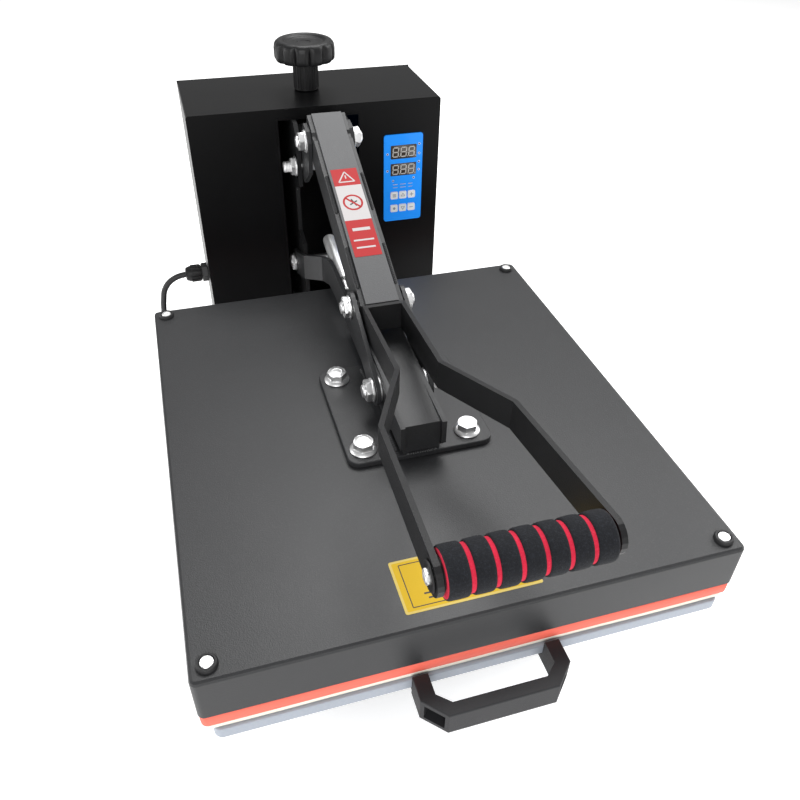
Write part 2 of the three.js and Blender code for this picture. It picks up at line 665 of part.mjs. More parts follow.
function grip() {
  const half = GRIP_LEN / 2 + 6;
  const cap = half + GAP;
  const head = turnedX([[0, cap], [8.5, cap], [8.5, cap + 2], [5, cap + 4], [0, cap + 4]], GRIP_AT, 16);
  const body = join([rod(SHAFT_R, -cap - 1, cap + 1, GRIP_AT), head, mirrored(head)]);
  const bands = 7;
  const pitch = GRIP_LEN / bands;
  const profile = [[SHAFT_R + GAP, -GRIP_LEN / 2]];
  for (let i = 0; i < bands; i += 1) {
    const x0 = -GRIP_LEN / 2 + i * pitch;
    const start = x0 + (i ? 1.5 : 0);
    const stop = x0 + pitch - (i < bands - 1 ? 1.5 : 0);
    profile.push([GRIP_R - 0.9, start], [GRIP_R, start + 1], [GRIP_R, stop - 1], [GRIP_R - 0.9, stop]);
  }
  profile.push([SHAFT_R + GAP, GRIP_LEN / 2], [SHAFT_R + GAP, -GRIP_LEN / 2]);
  const foam = turnedX(profile, GRIP_AT, 18).translate([GRIP_SHIFT, 0, 0]);
  return [named('grip_rod', body, ZINC), named('foam_grip', foam, FOAM)];
}

function armPivots() {
  const middle = rod(SHAFT_R, -BAR_OUT - 1.5, BAR_OUT + 1.5, PIVOT_B);
  return [crossBolt('pivot_a_bolt', PIVOT_A, BRACKET_OUT, 34), named('pivot_b_shaft', middle, ZINC)];
}

// ---- links ----

function links() {
  const strip = plate(linkShape(PIVOT_B, PIVOT_C, 14), LINK_IN, LINK_OUT);
  const right = cut(strip, [bore(PIVOT_B), bore(PIVOT_C)]);
  const end = join([rod(SHAFT_R, BAR_OUT + 1.8, 33, PIVOT_B), boltEnd(LINK_OUT, 34, PIVOT_B, 10.5)]);
  return [
    named('link_right', right, POWDER),
    named('link_left', mirrored(right), POWDER),
    named('pivot_b_end_right', end, ZINC),
    named('pivot_b_end_left', mirrored(end), ZINC),
  ];
}

// ---- upper platen ----

function cover() {
  const tall = slab(PLATEN_W, PLATEN_D, 0, COVER_H + 10, COVER_R, 2.5);
  const keep = box(-PLATEN_W, PLATEN_W, -PLATEN_D, PLATEN_D, -COVER_H, 10);
  const inside = slab(PLATEN_W - 2 * SHEET, PLATEN_D - 2 * SHEET, -SHEET, COVER_H + 10, COVER_R - SHEET, 0);
  return [named('platen_cover', cut(tall.intersect(keep), [inside]), POWDER)];
}

function heater() {
  const inset = 2 * (SHEET + 6);
  const low = PAD_TOP + GAP;
  const body = slab(PLATEN_W - inset, PLATEN_D - inset, low + HEATER_H, HEATER_H, 4, 1);
  const thick = -SHEET - low - HEATER_H - 2 * GAP;
  const board = slab(PLATEN_W - inset, PLATEN_D - inset, -SHEET - GAP, thick, 3, 0);
  return [named('heating_plate', body, CAST), named('insulation_board', board, FELT)];
}

const MOUNT_W = 124;
const MOUNT_D = 129;
const MOUNT_H = 5;
const MOUNT_AT = [2, 1.5];

function mountingPlate() {
  const body = slab(MOUNT_W, MOUNT_D, MOUNT_H + GAP, MOUNT_H, 10, 0.8).translate([...MOUNT_AT, 0]);
  return [named('mounting_plate', body, POWDER)];
}

const YOKE = [
  [2, -66, 22], [2, 60, 29], [2, PLATEN_BACK - 50, 35], [2, PLATEN_BACK - 25, 33], [2, PIVOT_D[0] - 90, 17.5],
  [17, PIVOT_D[0] - 60, 5.5], [17, PIVOT_D[0], PIVOT_D[1]],
];

function yoke() {
  const mid = (BAR_IN + BAR_OUT) / 2;
  const out = (YOKE_IN + YOKE_OUT) / 2;
  const stations = YOKE.map(([x, y, z]) => [x > 10 ? out : mid, y, z]);
  const bar = flatBar(stations, FLAT, 29);
  const eye = rod(15, YOKE_IN, YOKE_OUT, PIVOT_D, 24);
  const side = outline([[-62, 5.6], [130, 14], [130, 48], [110, 49.5], [0, 41], [-62, 34.5]]);
  const beam = plate(side, -mid, mid);
  const hollow = plate(outline([[-59, 9], [150, 17], [150, 44], [0, 37.5], [-59, 31]]), -12.5, 12.5);
  const body = join([cut(beam, [hollow]), bar, mirrored(bar), eye, mirrored(eye)]);
  const under = box(-100, 100, -100, 67, -60, 5 + 2 * GAP);
  const toe = plate(outline([[-90, 0], [-90, 14], [-40, 14], [-15, 0]]), BAR_IN, BAR_OUT + 10);
  return [
    named('platen_yoke', cut(body, [under, toe, mirrored(toe), bore(PIVOT_C), bore(PIVOT_D)]), POWDER),
    crossBolt('pivot_c_bolt', PIVOT_C, LINK_OUT, 34.6),
    crossBolt('pivot_d_bolt', PIVOT_D, YOKE_OUT, YOKE_OUT + 6.6),
  ];
}

function flangeBolts() {
  const out = [];
  const z = 5 + 2 * GAP;
  for (const [name, x, y] of [
    ['flange_bolt_front_left', -45, -47], ['flange_bolt_front_right', 45, -47],
    ['flange_bolt_back_left', -45, 50], ['flange_bolt_back_right', 45, 50],
  ]) {
    const flange = turned([[0, z], [11.3, z], [11.3, z + 1.2], [8, z + 3], [0, z + 3]], x, y, 20);
    const hexagon = turned([[0, z + 2], [8.7, z + 2], [8.7, z + 8.2], [7.4, z + 9], [0, z + 9]], x, y, 6);
    out.push(named(name, join([flange, hexagon]), ZINC));
  }
  return out;
}

// ---- drawer ----

function drawer() {
  const pad = slab(PLATEN_W - 1, PLATEN_D, PAD_TOP, PAD_H, 5, 0.8);
  const backing = slab(PLATEN_W - 6, PLATEN_D - 2, BACKING_TOP, BACKING_H, 4, 0);
  const lower = slab(PLATEN_W - 2 * LOWER_INSET, PLATEN_D + 2, LOWER_TOP, LOWER_H, 6, 1.2);
  const out = [named('silicone_pad', pad, SILICONE), named('pad_backing', backing, FELT)];
  out.push(named('lower_platen', lower, CAST));
  for (const [name, side] of [['runner_left', -1], ['runner_right', 1]]) {
    const x = side * RUNNER_X;
    const half = RUNNER_W / 2;
    const front = -PLATEN_D * 0.45;
    const back = PLATEN_D * 0.43;
    const body = box(x - half, x + half, front, back, RUNNER_BOTTOM, LOWER_BOTTOM - GAP);
    out.push(named(name, body, STEEL));
  }
  return out;
}

function pullHandle() {
  const root = -PLATEN_D / 2 - 1 - GAP;
  const tip = root - HANDLE_OUT + 1;
  const bottom = LOWER_TOP + HANDLE_RISE - HANDLE_H;
  const shape = outline([
    [-HANDLE_ROOT, root], [-HANDLE_ROOT, root - 19], [-HANDLE_FRONT, tip],
    [HANDLE_FRONT, tip], [HANDLE_ROOT, root - 19], [HANDLE_ROOT, root],
  ]);
  const options = { depth: HANDLE_H - 2, bevelThickness: 1, bevelSize: 1, bevelOffset: -1, bevelSegments: 2 };
  const loop = new THREE.ExtrudeGeometry(shape, options);
  loop.translate(0, 0, bottom + 1);
  const side = HANDLE_ROOT - HANDLE_WALL - 2;
  const nose = HANDLE_FRONT - HANDLE_WALL + 4;
  const gap = outline([
    [-side, root + 1], [-side, root - 17], [-nose, tip + HANDLE_WALL], [nose, tip + HANDLE_WALL],
    [side, root - 17], [side, root + 1],
  ]);
  const window = new THREE.ExtrudeGeometry(gap, { depth: HANDLE_H + 10, bevelEnabled: false });
  window.translate(0, 0, bottom - 5);
  const turn = Math.atan2(HANDLE_OUT - 20, HANDLE_ROOT - HANDLE_FRONT);
  const middle = [(HANDLE_ROOT + HANDLE_FRONT) / 2, (root - 19 + tip) / 2];
  const pocket = box(-8, 8, -4, 7, bottom + 4, bottom + HANDLE_H - 4);
  const right = pocket.rotate([0, 0, (turn * 180) / Math.PI]).translate([middle[0], middle[1], 0]);
  const wide = HANDLE_ROOT - 1;
  const rear = box(-wide, wide, root - 3, root + 34, bottom, LOWER_BOTTOM - GAP);
  const recess = box(-side, side, root - 4, root + 12, bottom - 1, LOWER_BOTTOM);
  const frame = cut(solid(loop), [solid(window), right, mirrored(right)]);
  return [named('pull_handle', join([frame, cut(rear, [recess])]), PLASTIC)];
}

function group(name, meshes) {
  const out = new THREE.Group();
  out.name = name;
  meshes.flat().forEach((mesh) => out.add(mesh));
  return out;
}

const root = new THREE.Group();
root.name = 'heat_press';
const frame = [baseFrame(), feet(), pedestal(), bedPlate(), slideRails(), cheeks(), screwBridge()];
root.add(group('stand', frame));
root.add(group('control_box', [housing(), housingBack(), displayPanel(), keys(), powerSwitch()]));
root.add(group('mains', [gland(), cord()]));
root.add(group('pressure', [knob(), screw(), bracket()]));
root.add(group('handle', [armTube(), armBars(), fork(), grip(), armPivots()]));
root.add(group('toggle', [links()]));
root.add(group('upper_platen', [cover(), heater(), mountingPlate(), yoke(), flangeBolts()]));
root.add(group('drawer', [drawer(), pullHandle()]));
root.position.set(0, -(BOX_BACK + GRIP_FRONT) / 2, TABLE_DROP);
root.updateMatrixWorld(true);

export default root;
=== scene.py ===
"""Looks of a clamshell heat press: finishes, small hardware, soft layers, mains lead and studio.

All lengths in the frame are metres. Sizes in the classes are millimetres, measured from the middle of
the upper platen's top face, with +Z up and the operator at -Y; `at` turns them into the frame.
"""

import logging
import math
from dataclasses import dataclass, field
from enum import Enum
from typing import Iterable, Sequence

import bpy
from mathutils import Matrix, Vector


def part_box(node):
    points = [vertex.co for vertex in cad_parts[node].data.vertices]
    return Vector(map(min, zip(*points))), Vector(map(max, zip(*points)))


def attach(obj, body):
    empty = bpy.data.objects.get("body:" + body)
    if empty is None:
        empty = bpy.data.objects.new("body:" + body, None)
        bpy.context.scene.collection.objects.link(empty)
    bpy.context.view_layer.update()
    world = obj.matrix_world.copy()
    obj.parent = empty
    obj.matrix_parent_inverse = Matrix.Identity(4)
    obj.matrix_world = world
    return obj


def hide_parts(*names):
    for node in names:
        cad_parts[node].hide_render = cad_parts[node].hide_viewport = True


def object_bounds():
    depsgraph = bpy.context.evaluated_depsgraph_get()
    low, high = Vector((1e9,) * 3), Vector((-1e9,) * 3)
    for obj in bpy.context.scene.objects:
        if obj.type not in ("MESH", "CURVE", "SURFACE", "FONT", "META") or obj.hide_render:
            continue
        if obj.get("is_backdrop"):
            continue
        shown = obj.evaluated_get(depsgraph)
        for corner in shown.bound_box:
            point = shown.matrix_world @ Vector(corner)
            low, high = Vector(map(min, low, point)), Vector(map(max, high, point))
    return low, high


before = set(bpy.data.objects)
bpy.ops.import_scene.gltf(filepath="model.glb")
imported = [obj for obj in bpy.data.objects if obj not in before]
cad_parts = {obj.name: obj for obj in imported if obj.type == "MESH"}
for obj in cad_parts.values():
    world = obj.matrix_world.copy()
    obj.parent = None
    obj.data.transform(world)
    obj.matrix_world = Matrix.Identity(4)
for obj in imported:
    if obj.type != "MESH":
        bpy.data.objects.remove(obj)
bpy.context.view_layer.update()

MM = 0.001
LOG = logging.getLogger("heat_press")

Pair = tuple[float, float]
Triple = tuple[float, float, float]


class Body(str, Enum):
    """The moving bodies that pieces ride on."""

    STAND = "stand"
    KNOB = "knob"
    BRACKET = "bracket"
    HANDLE = "handle"
    LINKS = "links"
    PLATEN = "upper_platen"
    DRAWER = "drawer"
    ROCKER = "rocker"


class Toward(Enum):
    """The frame direction that a turned or extruded piece's own +Z is laid along."""

    RIGHT = "x"
    LEFT = "-x"
    FRONT = "-y"
    UP = "z"

    def turn(self) -> Matrix:
        """The rotation that lays +Z along this direction, with +X kept sideways where it can be.

        Returns:
            The rotation.
        """
        columns = {
            Toward.RIGHT: ((0, 1, 0), (0, 0, 1), (1, 0, 0)),
            Toward.LEFT: ((0, -1, 0), (0, 0, 1), (-1, 0, 0)),
            Toward.FRONT: ((1, 0, 0), (0, 0, 1), (0, -1, 0)),
            Toward.UP: ((1, 0, 0), (0, 1, 0), (0, 0, 1)),
        }[self]
        return Matrix(columns).transposed().to_4x4()


def platen_origin() -> Vector:
    """The middle of the upper platen's top face, in the frame."""
    low, high = (Vector(corner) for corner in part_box("platen_cover"))
    return Vector(((low.x + high.x) / 2, (low.y + high.y) / 2, high.z))


def at(x: float, y: float, z: float) -> Vector:
    """The frame point of a place given in millimetres from the platen's origin."""
    return platen_origin() + Vector((x, y, z)) * MM


def middle(node: str) -> Vector:
    """The middle of a CAD node's box."""
    low, high = (Vector(corner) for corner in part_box(node))
    return (low + high) / 2


# ---------------------------------------------------------------- shader maths


class Value:
    """A shader socket that takes part in sums."""

    def __init__(self, graph: "Graph", socket: bpy.types.NodeSocket) -> None:
        """Keeps the socket and the graph that new Math nodes go into."""
        self.graph = graph
        self.socket = socket

    def _with(self, operation: str, first: object, second: object) -> "Value":
        """A Math node of that operation on two values."""
        made = self.graph.node("ShaderNodeMath", {"operation": operation}, {0: first, 1: second})
        return made[0]

    def __add__(self, other: object) -> "Value":
        """self + other."""
        return self._with("ADD", self, other)

    def __radd__(self, other: object) -> "Value":
        """other + self."""
        return self._with("ADD", other, self)

    def __sub__(self, other: object) -> "Value":
        """self - other."""
        return self._with("SUBTRACT", self, other)

    def __rsub__(self, other: object) -> "Value":
        """other - self."""
        return self._with("SUBTRACT", other, self)

    def __mul__(self, other: object) -> "Value":
        """self * other."""
        return self._with("MULTIPLY", self, other)

    def __rmul__(self, other: object) -> "Value":
        """other * self."""
        return self._with("MULTIPLY", other, self)


class Made:
    """A node, whose outputs are read by name or number as values."""

    def __init__(self, graph: "Graph", node: bpy.types.Node) -> None:
        """Keeps the node."""
        self.graph = graph
        self.node = node

    def __getitem__(self, key: str | int) -> Value:
        """One output of the node."""
        return Value(self.graph, self.node.outputs[key])


class Graph:
    """One material's node tree, with its Principled shader already in place."""

    def __init__(self, name: str) -> None:
        """Makes the material.

        Args:
            name: The material's name.
        """
        self.material = bpy.data.materials.new(name)
        self.material.use_nodes = True
        self.tree = self.material.node_tree
        self.shader = self.tree.nodes["Principled BSDF"]

    def node(self, kind: str, settings: dict[str, object], inputs: dict[str | int, object]) -> Made:
        """Adds a node.

        Args:
            kind: The node's type.
            settings: Attributes, set first. "stops" gives a ramp's (place, colour) pairs.
            inputs: Numbers, colours or values for its sockets.

        Returns:
            The node, ready for its outputs to be read.
        """
        made = self.tree.nodes.new(kind)
        for key, setting in settings.items():
            if key == "stops":
                ramp = made.color_ramp
                while len(ramp.elements) < len(setting):
                    ramp.elements.new(0.5)
                for element, (place, colour) in zip(ramp.elements, setting):
                    element.position = place
                    element.color = colour
            else:
                setattr(made, key, setting)
        for key, given in inputs.items():
            self.feed(made.inputs[key], given)
        return Made(self, made)

    def feed(self, socket: bpy.types.NodeSocket, given: object) -> None:
        """Links a value to a socket, or sets the socket's own number or colour.

        Args:
            socket: The socket to feed.
            given: A value, a number, a colour or a vector.
        """
        if isinstance(given, Value):
            self.tree.links.new(given.socket, socket)
        else:
            socket.default_value = given

    def places(self) -> Value:
        """The point of the surface, in metres, moving with the piece."""
        return self.node("ShaderNodeTexCoord", {}, {})["Object"]

    def stretched(self, scale: Triple) -> Value:
        """The surface point, scaled by its own factor along each axis."""
        mapping = self.node("ShaderNodeMapping", {}, {"Vector": self.places(), "Scale": scale})
        return mapping["Vector"]

    def noise(self, scale: float, detail: float = 2.0, where: Value | None = None) -> Value:
        """Soft noise from 0 to 1.

        Args:
            scale: Lumps per metre.
            detail: How many finer layers it has.
            where: The points to read it at, if not the surface's own.

        Returns:
            The noise.
        """
        inputs = {"Vector": where or self.places(), "Scale": scale, "Detail": detail, "Roughness": 0.6}
        return self.node("ShaderNodeTexNoise", {}, inputs)["Fac"]

    def cells(self, scale: float) -> Value:
        """Distance to the nearest cell centre of a cell pattern."""
        inputs = {"Vector": self.places(), "Scale": scale}
        return self.node("ShaderNodeTexVoronoi", {"feature": "F1"}, inputs)["Distance"]

    def between(self, low: Triple, high: Triple, share: Value) -> Value:
        """A colour between two, by share.

        Args:
            low: The colour at share 0.
            high: The colour at share 1.
            share: The varying share.

        Returns:
            The mixed colour.
        """
        inputs = {"Factor": share, "A": (*low, 1.0), "B": (*high, 1.0)}
        mix = self.tree.nodes.new("ShaderNodeMix")
        mix.data_type = "RGBA"
        mix.clamp_factor = True
        for name, index in (("Factor", 0), ("A", 6), ("B", 7)):
            self.feed(mix.inputs[index], inputs[name])
        return Value(self, mix.outputs[2])

    def over(self, under: Value, colour: Triple, share: Value) -> Value:
        """A colour laid over a varying one, by share.

        Args:
            under: The varying colour below.
            colour: The colour laid over it.
            share: How much of it shows.

        Returns:
            The mixed colour.
        """
        mix = self.tree.nodes.new("ShaderNodeMix")
        mix.data_type = "RGBA"
        mix.clamp_factor = True
        self.feed(mix.inputs[0], share)
        self.feed(mix.inputs[6], under)
        self.feed(mix.inputs[7], (*colour, 1.0))
        return Value(self, mix.outputs[2])

    def ramp(self, value: Value, low: float, high: float) -> Value:
        """The value stretched so that low gives 0 and high gives 1."""
        inputs = {"Value": value, "From Min": low, "From Max": high, "To Min": 0.0, "To Max": 1.0}
        return self.node("ShaderNodeMapRange", {"clamp": True}, inputs)[0]

    def bump(self, height: Value, depth: float, strength: float = 1.0) -> Value:
        """A normal from a height pattern.

        Args:
            height: The pattern, from 0 to 1.
            depth: Its depth in metres.
            strength: Its weight.

        Returns:
            The normal.
        """
        inputs = {"Height": height, "Distance": depth, "Strength": strength}
        return self.node("ShaderNodeBump", {}, inputs)["Normal"]

    def surface(self, **inputs: object) -> bpy.types.Material:
        """Feeds the Principled shader, with words such as base_color for its sockets.

        Returns:
            The material.
        """
        for word, given in inputs.items():
            if given is None:
                continue
            name = {"specular_ior_level": "Specular IOR Level"}.get(word, word.replace("_", " ").title())
            if isinstance(given, tuple) and len(given) == 3:
                given = (*given, 1.0)
            self.feed(self.shader.inputs[name], given)
        return self.material


# ---------------------------------------------------------------- finishes


@dataclass(frozen=True)
class Finish:
    """What every finish has: a name, a colour and a way to be made once."""

    name: str
    colour: Triple

    def build(self) -> bpy.types.Material:
        """The material, made on first use."""
        known = bpy.data.materials.get(self.name)
        return known or self.make(Graph(self.name))

    def make(self, graph: Graph) -> bpy.types.Material:
        """Fills the material's graph."""
        raise NotImplementedError

    def shade(self, factor: float) -> Triple:
        """The finish's colour made darker or lighter."""
        return tuple(min(1.0, channel * factor) for channel in self.colour)


@dataclass(frozen=True)
class PowderCoat(Finish):
    """Baked powder paint with a fine texture, faint mottling and a few rubbed marks."""

    rough: float = 0.46
    depth: float = 0.00022
    grain: float = 1100.0
    speck: float = 0.5
    gloss: float = 0.5

    def make(self, graph: Graph) -> bpy.types.Material:
        """Fills the material's graph.

        Args:
            graph: The material's graph.

        Returns:
            The material.
        """
        grain = graph.noise(self.grain, 3.0)
        fine = graph.cells(self.grain * 0.9)
        mottle = graph.noise(16.0, 4.0)
        rubbed = graph.ramp(graph.noise(5.0, 6.0, graph.stretched((1.0, 3.0, 2.0))), 0.60, 0.72)
        scratch = graph.ramp(graph.noise(60.0, 3.0, graph.stretched((9.0, 0.7, 1.0))), 0.70, 0.74)
        speck = graph.ramp(grain, 0.55, 0.75)
        colour = graph.between(self.shade(0.80), self.shade(1.16), mottle * 0.55 + grain * 0.45)
        colour = graph.over(colour, self.shade(2.1), speck * self.speck)
        colour = graph.over(colour, self.shade(1.5), rubbed * 0.22 + scratch * 0.10)
        rough = self.rough - 0.05 + mottle * 0.10 + speck * 0.06 - rubbed * 0.05
        height = grain * 0.7 + fine * 0.3
        normal = graph.bump(height, self.depth, 0.7)
        return graph.surface(base_color=colour, roughness=rough, specular_ior_level=self.gloss, normal=normal)


@dataclass(frozen=True)
class SatinPaint(Finish):
    """Smooth satin box paint with a slight orange peel, dust and faint wipe marks."""

    rough: float = 0.34
    gloss: float = 0.4

    def make(self, graph: Graph) -> bpy.types.Material:
        """Fills the material's graph.

        Args:
            graph: The material's graph.

        Returns:
            The material.
        """
        peel = graph.noise(420.0, 2.0)
        wipe = graph.noise(9.0, 5.0, graph.stretched((1.0, 1.0, 0.35)))
        dust = graph.ramp(graph.noise(1500.0, 2.0), 0.70, 0.76)
        colour = graph.between(self.shade(0.85), self.shade(1.25), wipe)
        colour = graph.over(colour, self.shade(3.0), dust * 0.25)
        rough = self.rough - 0.04 + wipe * 0.09 + dust * 0.1
        normal = graph.bump(peel, 0.00009, 0.5)
        return graph.surface(base_color=colour, roughness=rough, specular_ior_level=self.gloss, normal=normal)


@dataclass(frozen=True)
class ZincPlate(Finish):
    """Bright zinc on steel hardware: soft streaks, tiny pits and slightly dull patches."""

    rough: float = 0.22

    def make(self, graph: Graph) -> bpy.types.Material:
        """Fills the material's graph.

        Args:
            graph: The material's graph.

        Returns:
            The material.
        """
        streak = graph.noise(240.0, 3.0, graph.stretched((1.0, 1.0, 6.0)))
        patch = graph.noise(110.0, 3.0)
        pits = graph.ramp(graph.noise(1900.0, 1.0), 0.66, 0.76)
        colour = graph.between(self.shade(0.80), self.shade(1.08), patch * 0.6 + streak * 0.4)
        rough = self.rough - 0.06 + patch * 0.16 + streak * 0.08
        height = streak * 0.6 + pits * 0.4
        normal = graph.bump(height, 0.00006, 0.6)
        return graph.surface(base_color=colour, metallic=1.0, roughness=rough, normal=normal)


@dataclass(frozen=True)
class DrawnSteel(Finish):
    """Bare steel with lines left by drawing or rolling along Y."""

    rough: float = 0.34

    def make(self, graph: Graph) -> bpy.types.Material:
        """Fills the material's graph.

        Args:
            graph: The material's graph.

        Returns:
            The material.
        """
        lines = graph.noise(900.0, 3.0, graph.stretched((1.0, 0.02, 1.0)))
        stain = graph.noise(22.0, 4.0)
        colour = graph.between(self.shade(0.75), self.shade(1.1), lines * 0.5 + stain * 0.5)
        rough = self.rough - 0.05 + lines * 0.12 + stain * 0.08
        normal = graph.bump(lines, 0.00005, 0.5)
        return graph.surface(base_color=colour, metallic=1.0, roughness=rough, normal=normal)


@dataclass(frozen=True)
class CastAluminium(Finish):
    """A cast plate, sandy all over, with the faint arcs of a facing cutter."""

    rough: float = 0.5

    def make(self, graph: Graph) -> bpy.types.Material:
        """Fills the material's graph.

        Args:
            graph: The material's graph.

        Returns:
            The material.
        """
        sand = graph.noise(950.0, 3.0)
        arcs = graph.node(
            "ShaderNodeTexWave",
            {"wave_type": "RINGS", "rings_direction": "Z"},
            {"Vector": graph.stretched((1.0, 0.6, 1.0)), "Scale": 130.0, "Distortion": 1.5},
        )["Fac"]
        cloud = graph.noise(18.0, 3.0)
        colour = graph.between(self.shade(0.86), self.shade(1.07), cloud * 0.6 + sand * 0.4)
        rough = self.rough - 0.05 + cloud * 0.1 + arcs * 0.04
        height = sand * 0.8 + arcs * 0.2
        normal = graph.bump(height, 0.0001, 0.5)
        return graph.surface(base_color=colour, metallic=0.35, roughness=rough, normal=normal)


@dataclass(frozen=True)
class MouldedPlastic(Finish):
    """Injection-moulded plastic with a spark-eroded texture and worn high spots."""

    rough: float = 0.5
    gloss: float = 0.35
    depth: float = 0.00012

    def make(self, graph: Graph) -> bpy.types.Material:
        """Fills the material's graph.

        Args:
            graph: The material's graph.

        Returns:
            The material.
        """
        spark = graph.noise(2100.0, 2.0)
        flow = graph.noise(35.0, 3.0)
        worn = graph.ramp(graph.noise(13.0, 5.0), 0.58, 0.75)
        colour = graph.between(self.shade(0.8), self.shade(1.35), flow * 0.5 + spark * 0.5)
        colour = graph.over(colour, self.shade(1.9), worn * 0.15)
        rough = self.rough - 0.04 + flow * 0.1 - worn * 0.06
        normal = graph.bump(spark, self.depth, 0.6)
        return graph.surface(base_color=colour, roughness=rough, specular_ior_level=self.gloss, normal=normal)


@dataclass(frozen=True)
class CellFoam(Finish):
    """Closed-cell foam: open pores on the cut skin and paler flecks."""

    fleck: Triple = (0.075, 0.095, 0.135)
    share: float = 0.5

    def make(self, graph: Graph) -> bpy.types.Material:
        """Fills the material's graph.

        Args:
            graph: The material's graph.

        Returns:
            The material.
        """
        pores = graph.ramp(graph.cells(1050.0), 0.05, 0.55)
        lumps = graph.noise(650.0, 3.0)
        cloud = graph.noise(60.0, 3.0)
        fleck = graph.ramp(lumps, 0.50, 0.68)
        colour = graph.between(self.shade(0.75), self.shade(1.3), cloud)
        colour = graph.over(colour, self.fleck, fleck * self.share)
        rough = 0.86 + pores * 0.1 - fleck * 0.06
        height = pores * 0.55 + lumps * 0.45
        return graph.surface(base_color=colour, roughness=rough, normal=graph.bump(height, 0.0003, 0.8))


@dataclass(frozen=True)
class Rubber(Finish):
    """Black or coloured rubber with bloom, dust and a matt moulded skin."""

    rough: float = 0.62
    bloom: float = 0.25

    def make(self, graph: Graph) -> bpy.types.Material:
        """Fills the material's graph.

        Args:
            graph: The material's graph.

        Returns:
            The material.
        """
        skin = graph.noise(1400.0, 2.0)
        cloud = graph.noise(28.0, 4.0)
        dust = graph.ramp(graph.noise(700.0, 4.0), 0.62, 0.74)
        colour = graph.between(self.shade(0.85), self.shade(1.15), cloud)
        colour = graph.over(colour, self.shade(1.6), dust * self.bloom)
        rough = self.rough - 0.05 + cloud * 0.12 + dust * 0.08
        return graph.surface(base_color=colour, roughness=rough, normal=graph.bump(skin, 0.00008, 0.6))


@dataclass(frozen=True)
class PressFelt(Finish):
    """Needled felt or fibre board: short crossing fibres and a soft dirty tint."""

    def make(self, graph: Graph) -> bpy.types.Material:
        """Fills the material's graph.

        Args:
            graph: The material's graph.

        Returns:
            The material.
        """
        along = graph.noise(1300.0, 3.0, graph.stretched((0.15, 1.0, 1.0)))
        across = graph.noise(1300.0, 3.0, graph.stretched((1.0, 0.15, 1.0)))
        tint = graph.noise(40.0, 3.0)
        fibre = along * 0.5 + across * 0.5
        colour = graph.between(self.shade(0.74), self.shade(1.1), fibre * 0.6 + tint * 0.4)
        rough = 0.88 + fibre * 0.1
        return graph.surface(base_color=colour, roughness=rough, normal=graph.bump(fibre, 0.0003, 0.8))


@dataclass(frozen=True)
class PrintedFilm(Finish):
    """Printed overlay film or sticker: even colour, faint ink mottle and a soft gloss, plus a painted glow
    where glow is set, though the film is no lamp.
    """

    rough: float = 0.36
    coat: float = 0.2
    # glow is painted light: the film's own colour is emitted so that it looks brightly lit
    glow: float = 0.0

    def make(self, graph: Graph) -> bpy.types.Material:
        """Fills the material's graph.

        Args:
            graph: The material's graph.

        Returns:
            The material.
        """
        ink = graph.noise(1600.0, 2.0)
        smear = graph.noise(30.0, 4.0)
        colour = graph.between(self.shade(0.90), self.shade(1.06), ink * 0.5 + smear * 0.5)
        rough = self.rough - 0.05 + smear * 0.12
        ripple = graph.noise(120.0, 2.0)
        normal = graph.bump(ripple, 0.00006, 0.4)
        # the emission below is a painted glow, not a lamp
        return graph.surface(
            base_color=colour, roughness=rough, coat_weight=self.coat, normal=normal, specular_ior_level=0.3,
            emission_color=colour, emission_strength=self.glow,
        )


@dataclass(frozen=True)
class SmokedWindow(Finish):
    """Dark brown tinted window over the digits."""

    def make(self, graph: Graph) -> bpy.types.Material:
        """Fills the material's graph.

        Args:
            graph: The material's graph.

        Returns:
            The material.
        """
        haze = graph.noise(90.0, 3.0)
        colour = graph.between(self.shade(0.8), self.shade(1.3), haze)
        rough = 0.14 + haze * 0.08
        normal = graph.bump(graph.noise(150.0, 1.0), 0.00003, 0.3)
        return graph.surface(base_color=colour, roughness=rough, coat_weight=0.4, normal=normal)


@dataclass(frozen=True)
class StudioSweep(Finish):
    """The pale paper sweep that the press stands on, lit from behind so that it stays even."""

    glow: float = 0.45

    def make(self, graph: Graph) -> bpy.types.Material:
        """Fills the material's graph.

        Args:
            graph: The material's graph.

        Returns:
            The material.
        """
        paper = graph.noise(14.0, 3.0)
        colour = graph.between(self.shade(0.985), self.colour, paper)
        return graph.surface(
            base_color=colour, roughness=0.9, emission_color=colour, emission_strength=self.glow
        )


CHARCOAL = PowderCoat("charcoal_powder_coat", (0.022, 0.0225, 0.024), rough=0.42, speck=0.7, gloss=0.42)
DARK_STEEL = PowderCoat("dark_frame_powder_coat", (0.010, 0.0102, 0.011), rough=0.42, speck=0.25, gloss=0.3)
BAR_GREY = PowderCoat("grey_bar_powder_coat", (0.024, 0.0245, 0.026), rough=0.42, speck=0.3, gloss=0.35)
FORK_BLACK = PowderCoat("fork_powder_coat", (0.010, 0.0102, 0.011), rough=0.42, speck=0.3, gloss=0.3)
TUBE_GREY = PowderCoat("grey_tube_powder_coat", (0.080, 0.081, 0.084), rough=0.48, speck=0.25, gloss=0.35)
BOX_BLACK = SatinPaint("box_satin_black", (0.0030, 0.0030, 0.0033), gloss=0.14)
ZINC = ZincPlate("bright_zinc", (0.95, 0.955, 0.96), rough=0.34)
STEEL = DrawnSteel("drawn_steel", (0.52, 0.53, 0.55))
CAST = CastAluminium("cast_platen", (0.38, 0.415, 0.47))
KNOB_BLACK = MouldedPlastic("moulded_black", (0.007, 0.007, 0.0075), rough=0.42, gloss=0.3)
HANDLE_BLACK = MouldedPlastic("handle_black", (0.022, 0.022, 0.024), rough=0.55, depth=0.0002)
FOAM_SKIN = CellFoam("foam_navy", (0.0025, 0.0033, 0.006), fleck=(0.014, 0.018, 0.028), share=0.35)
FOAM_CORE = CellFoam("foam_red", (0.60, 0.012, 0.045), fleck=(0.75, 0.05, 0.09), share=0.3)
SILICONE = Rubber("silicone_coral", (0.93, 0.15, 0.10), rough=0.6)
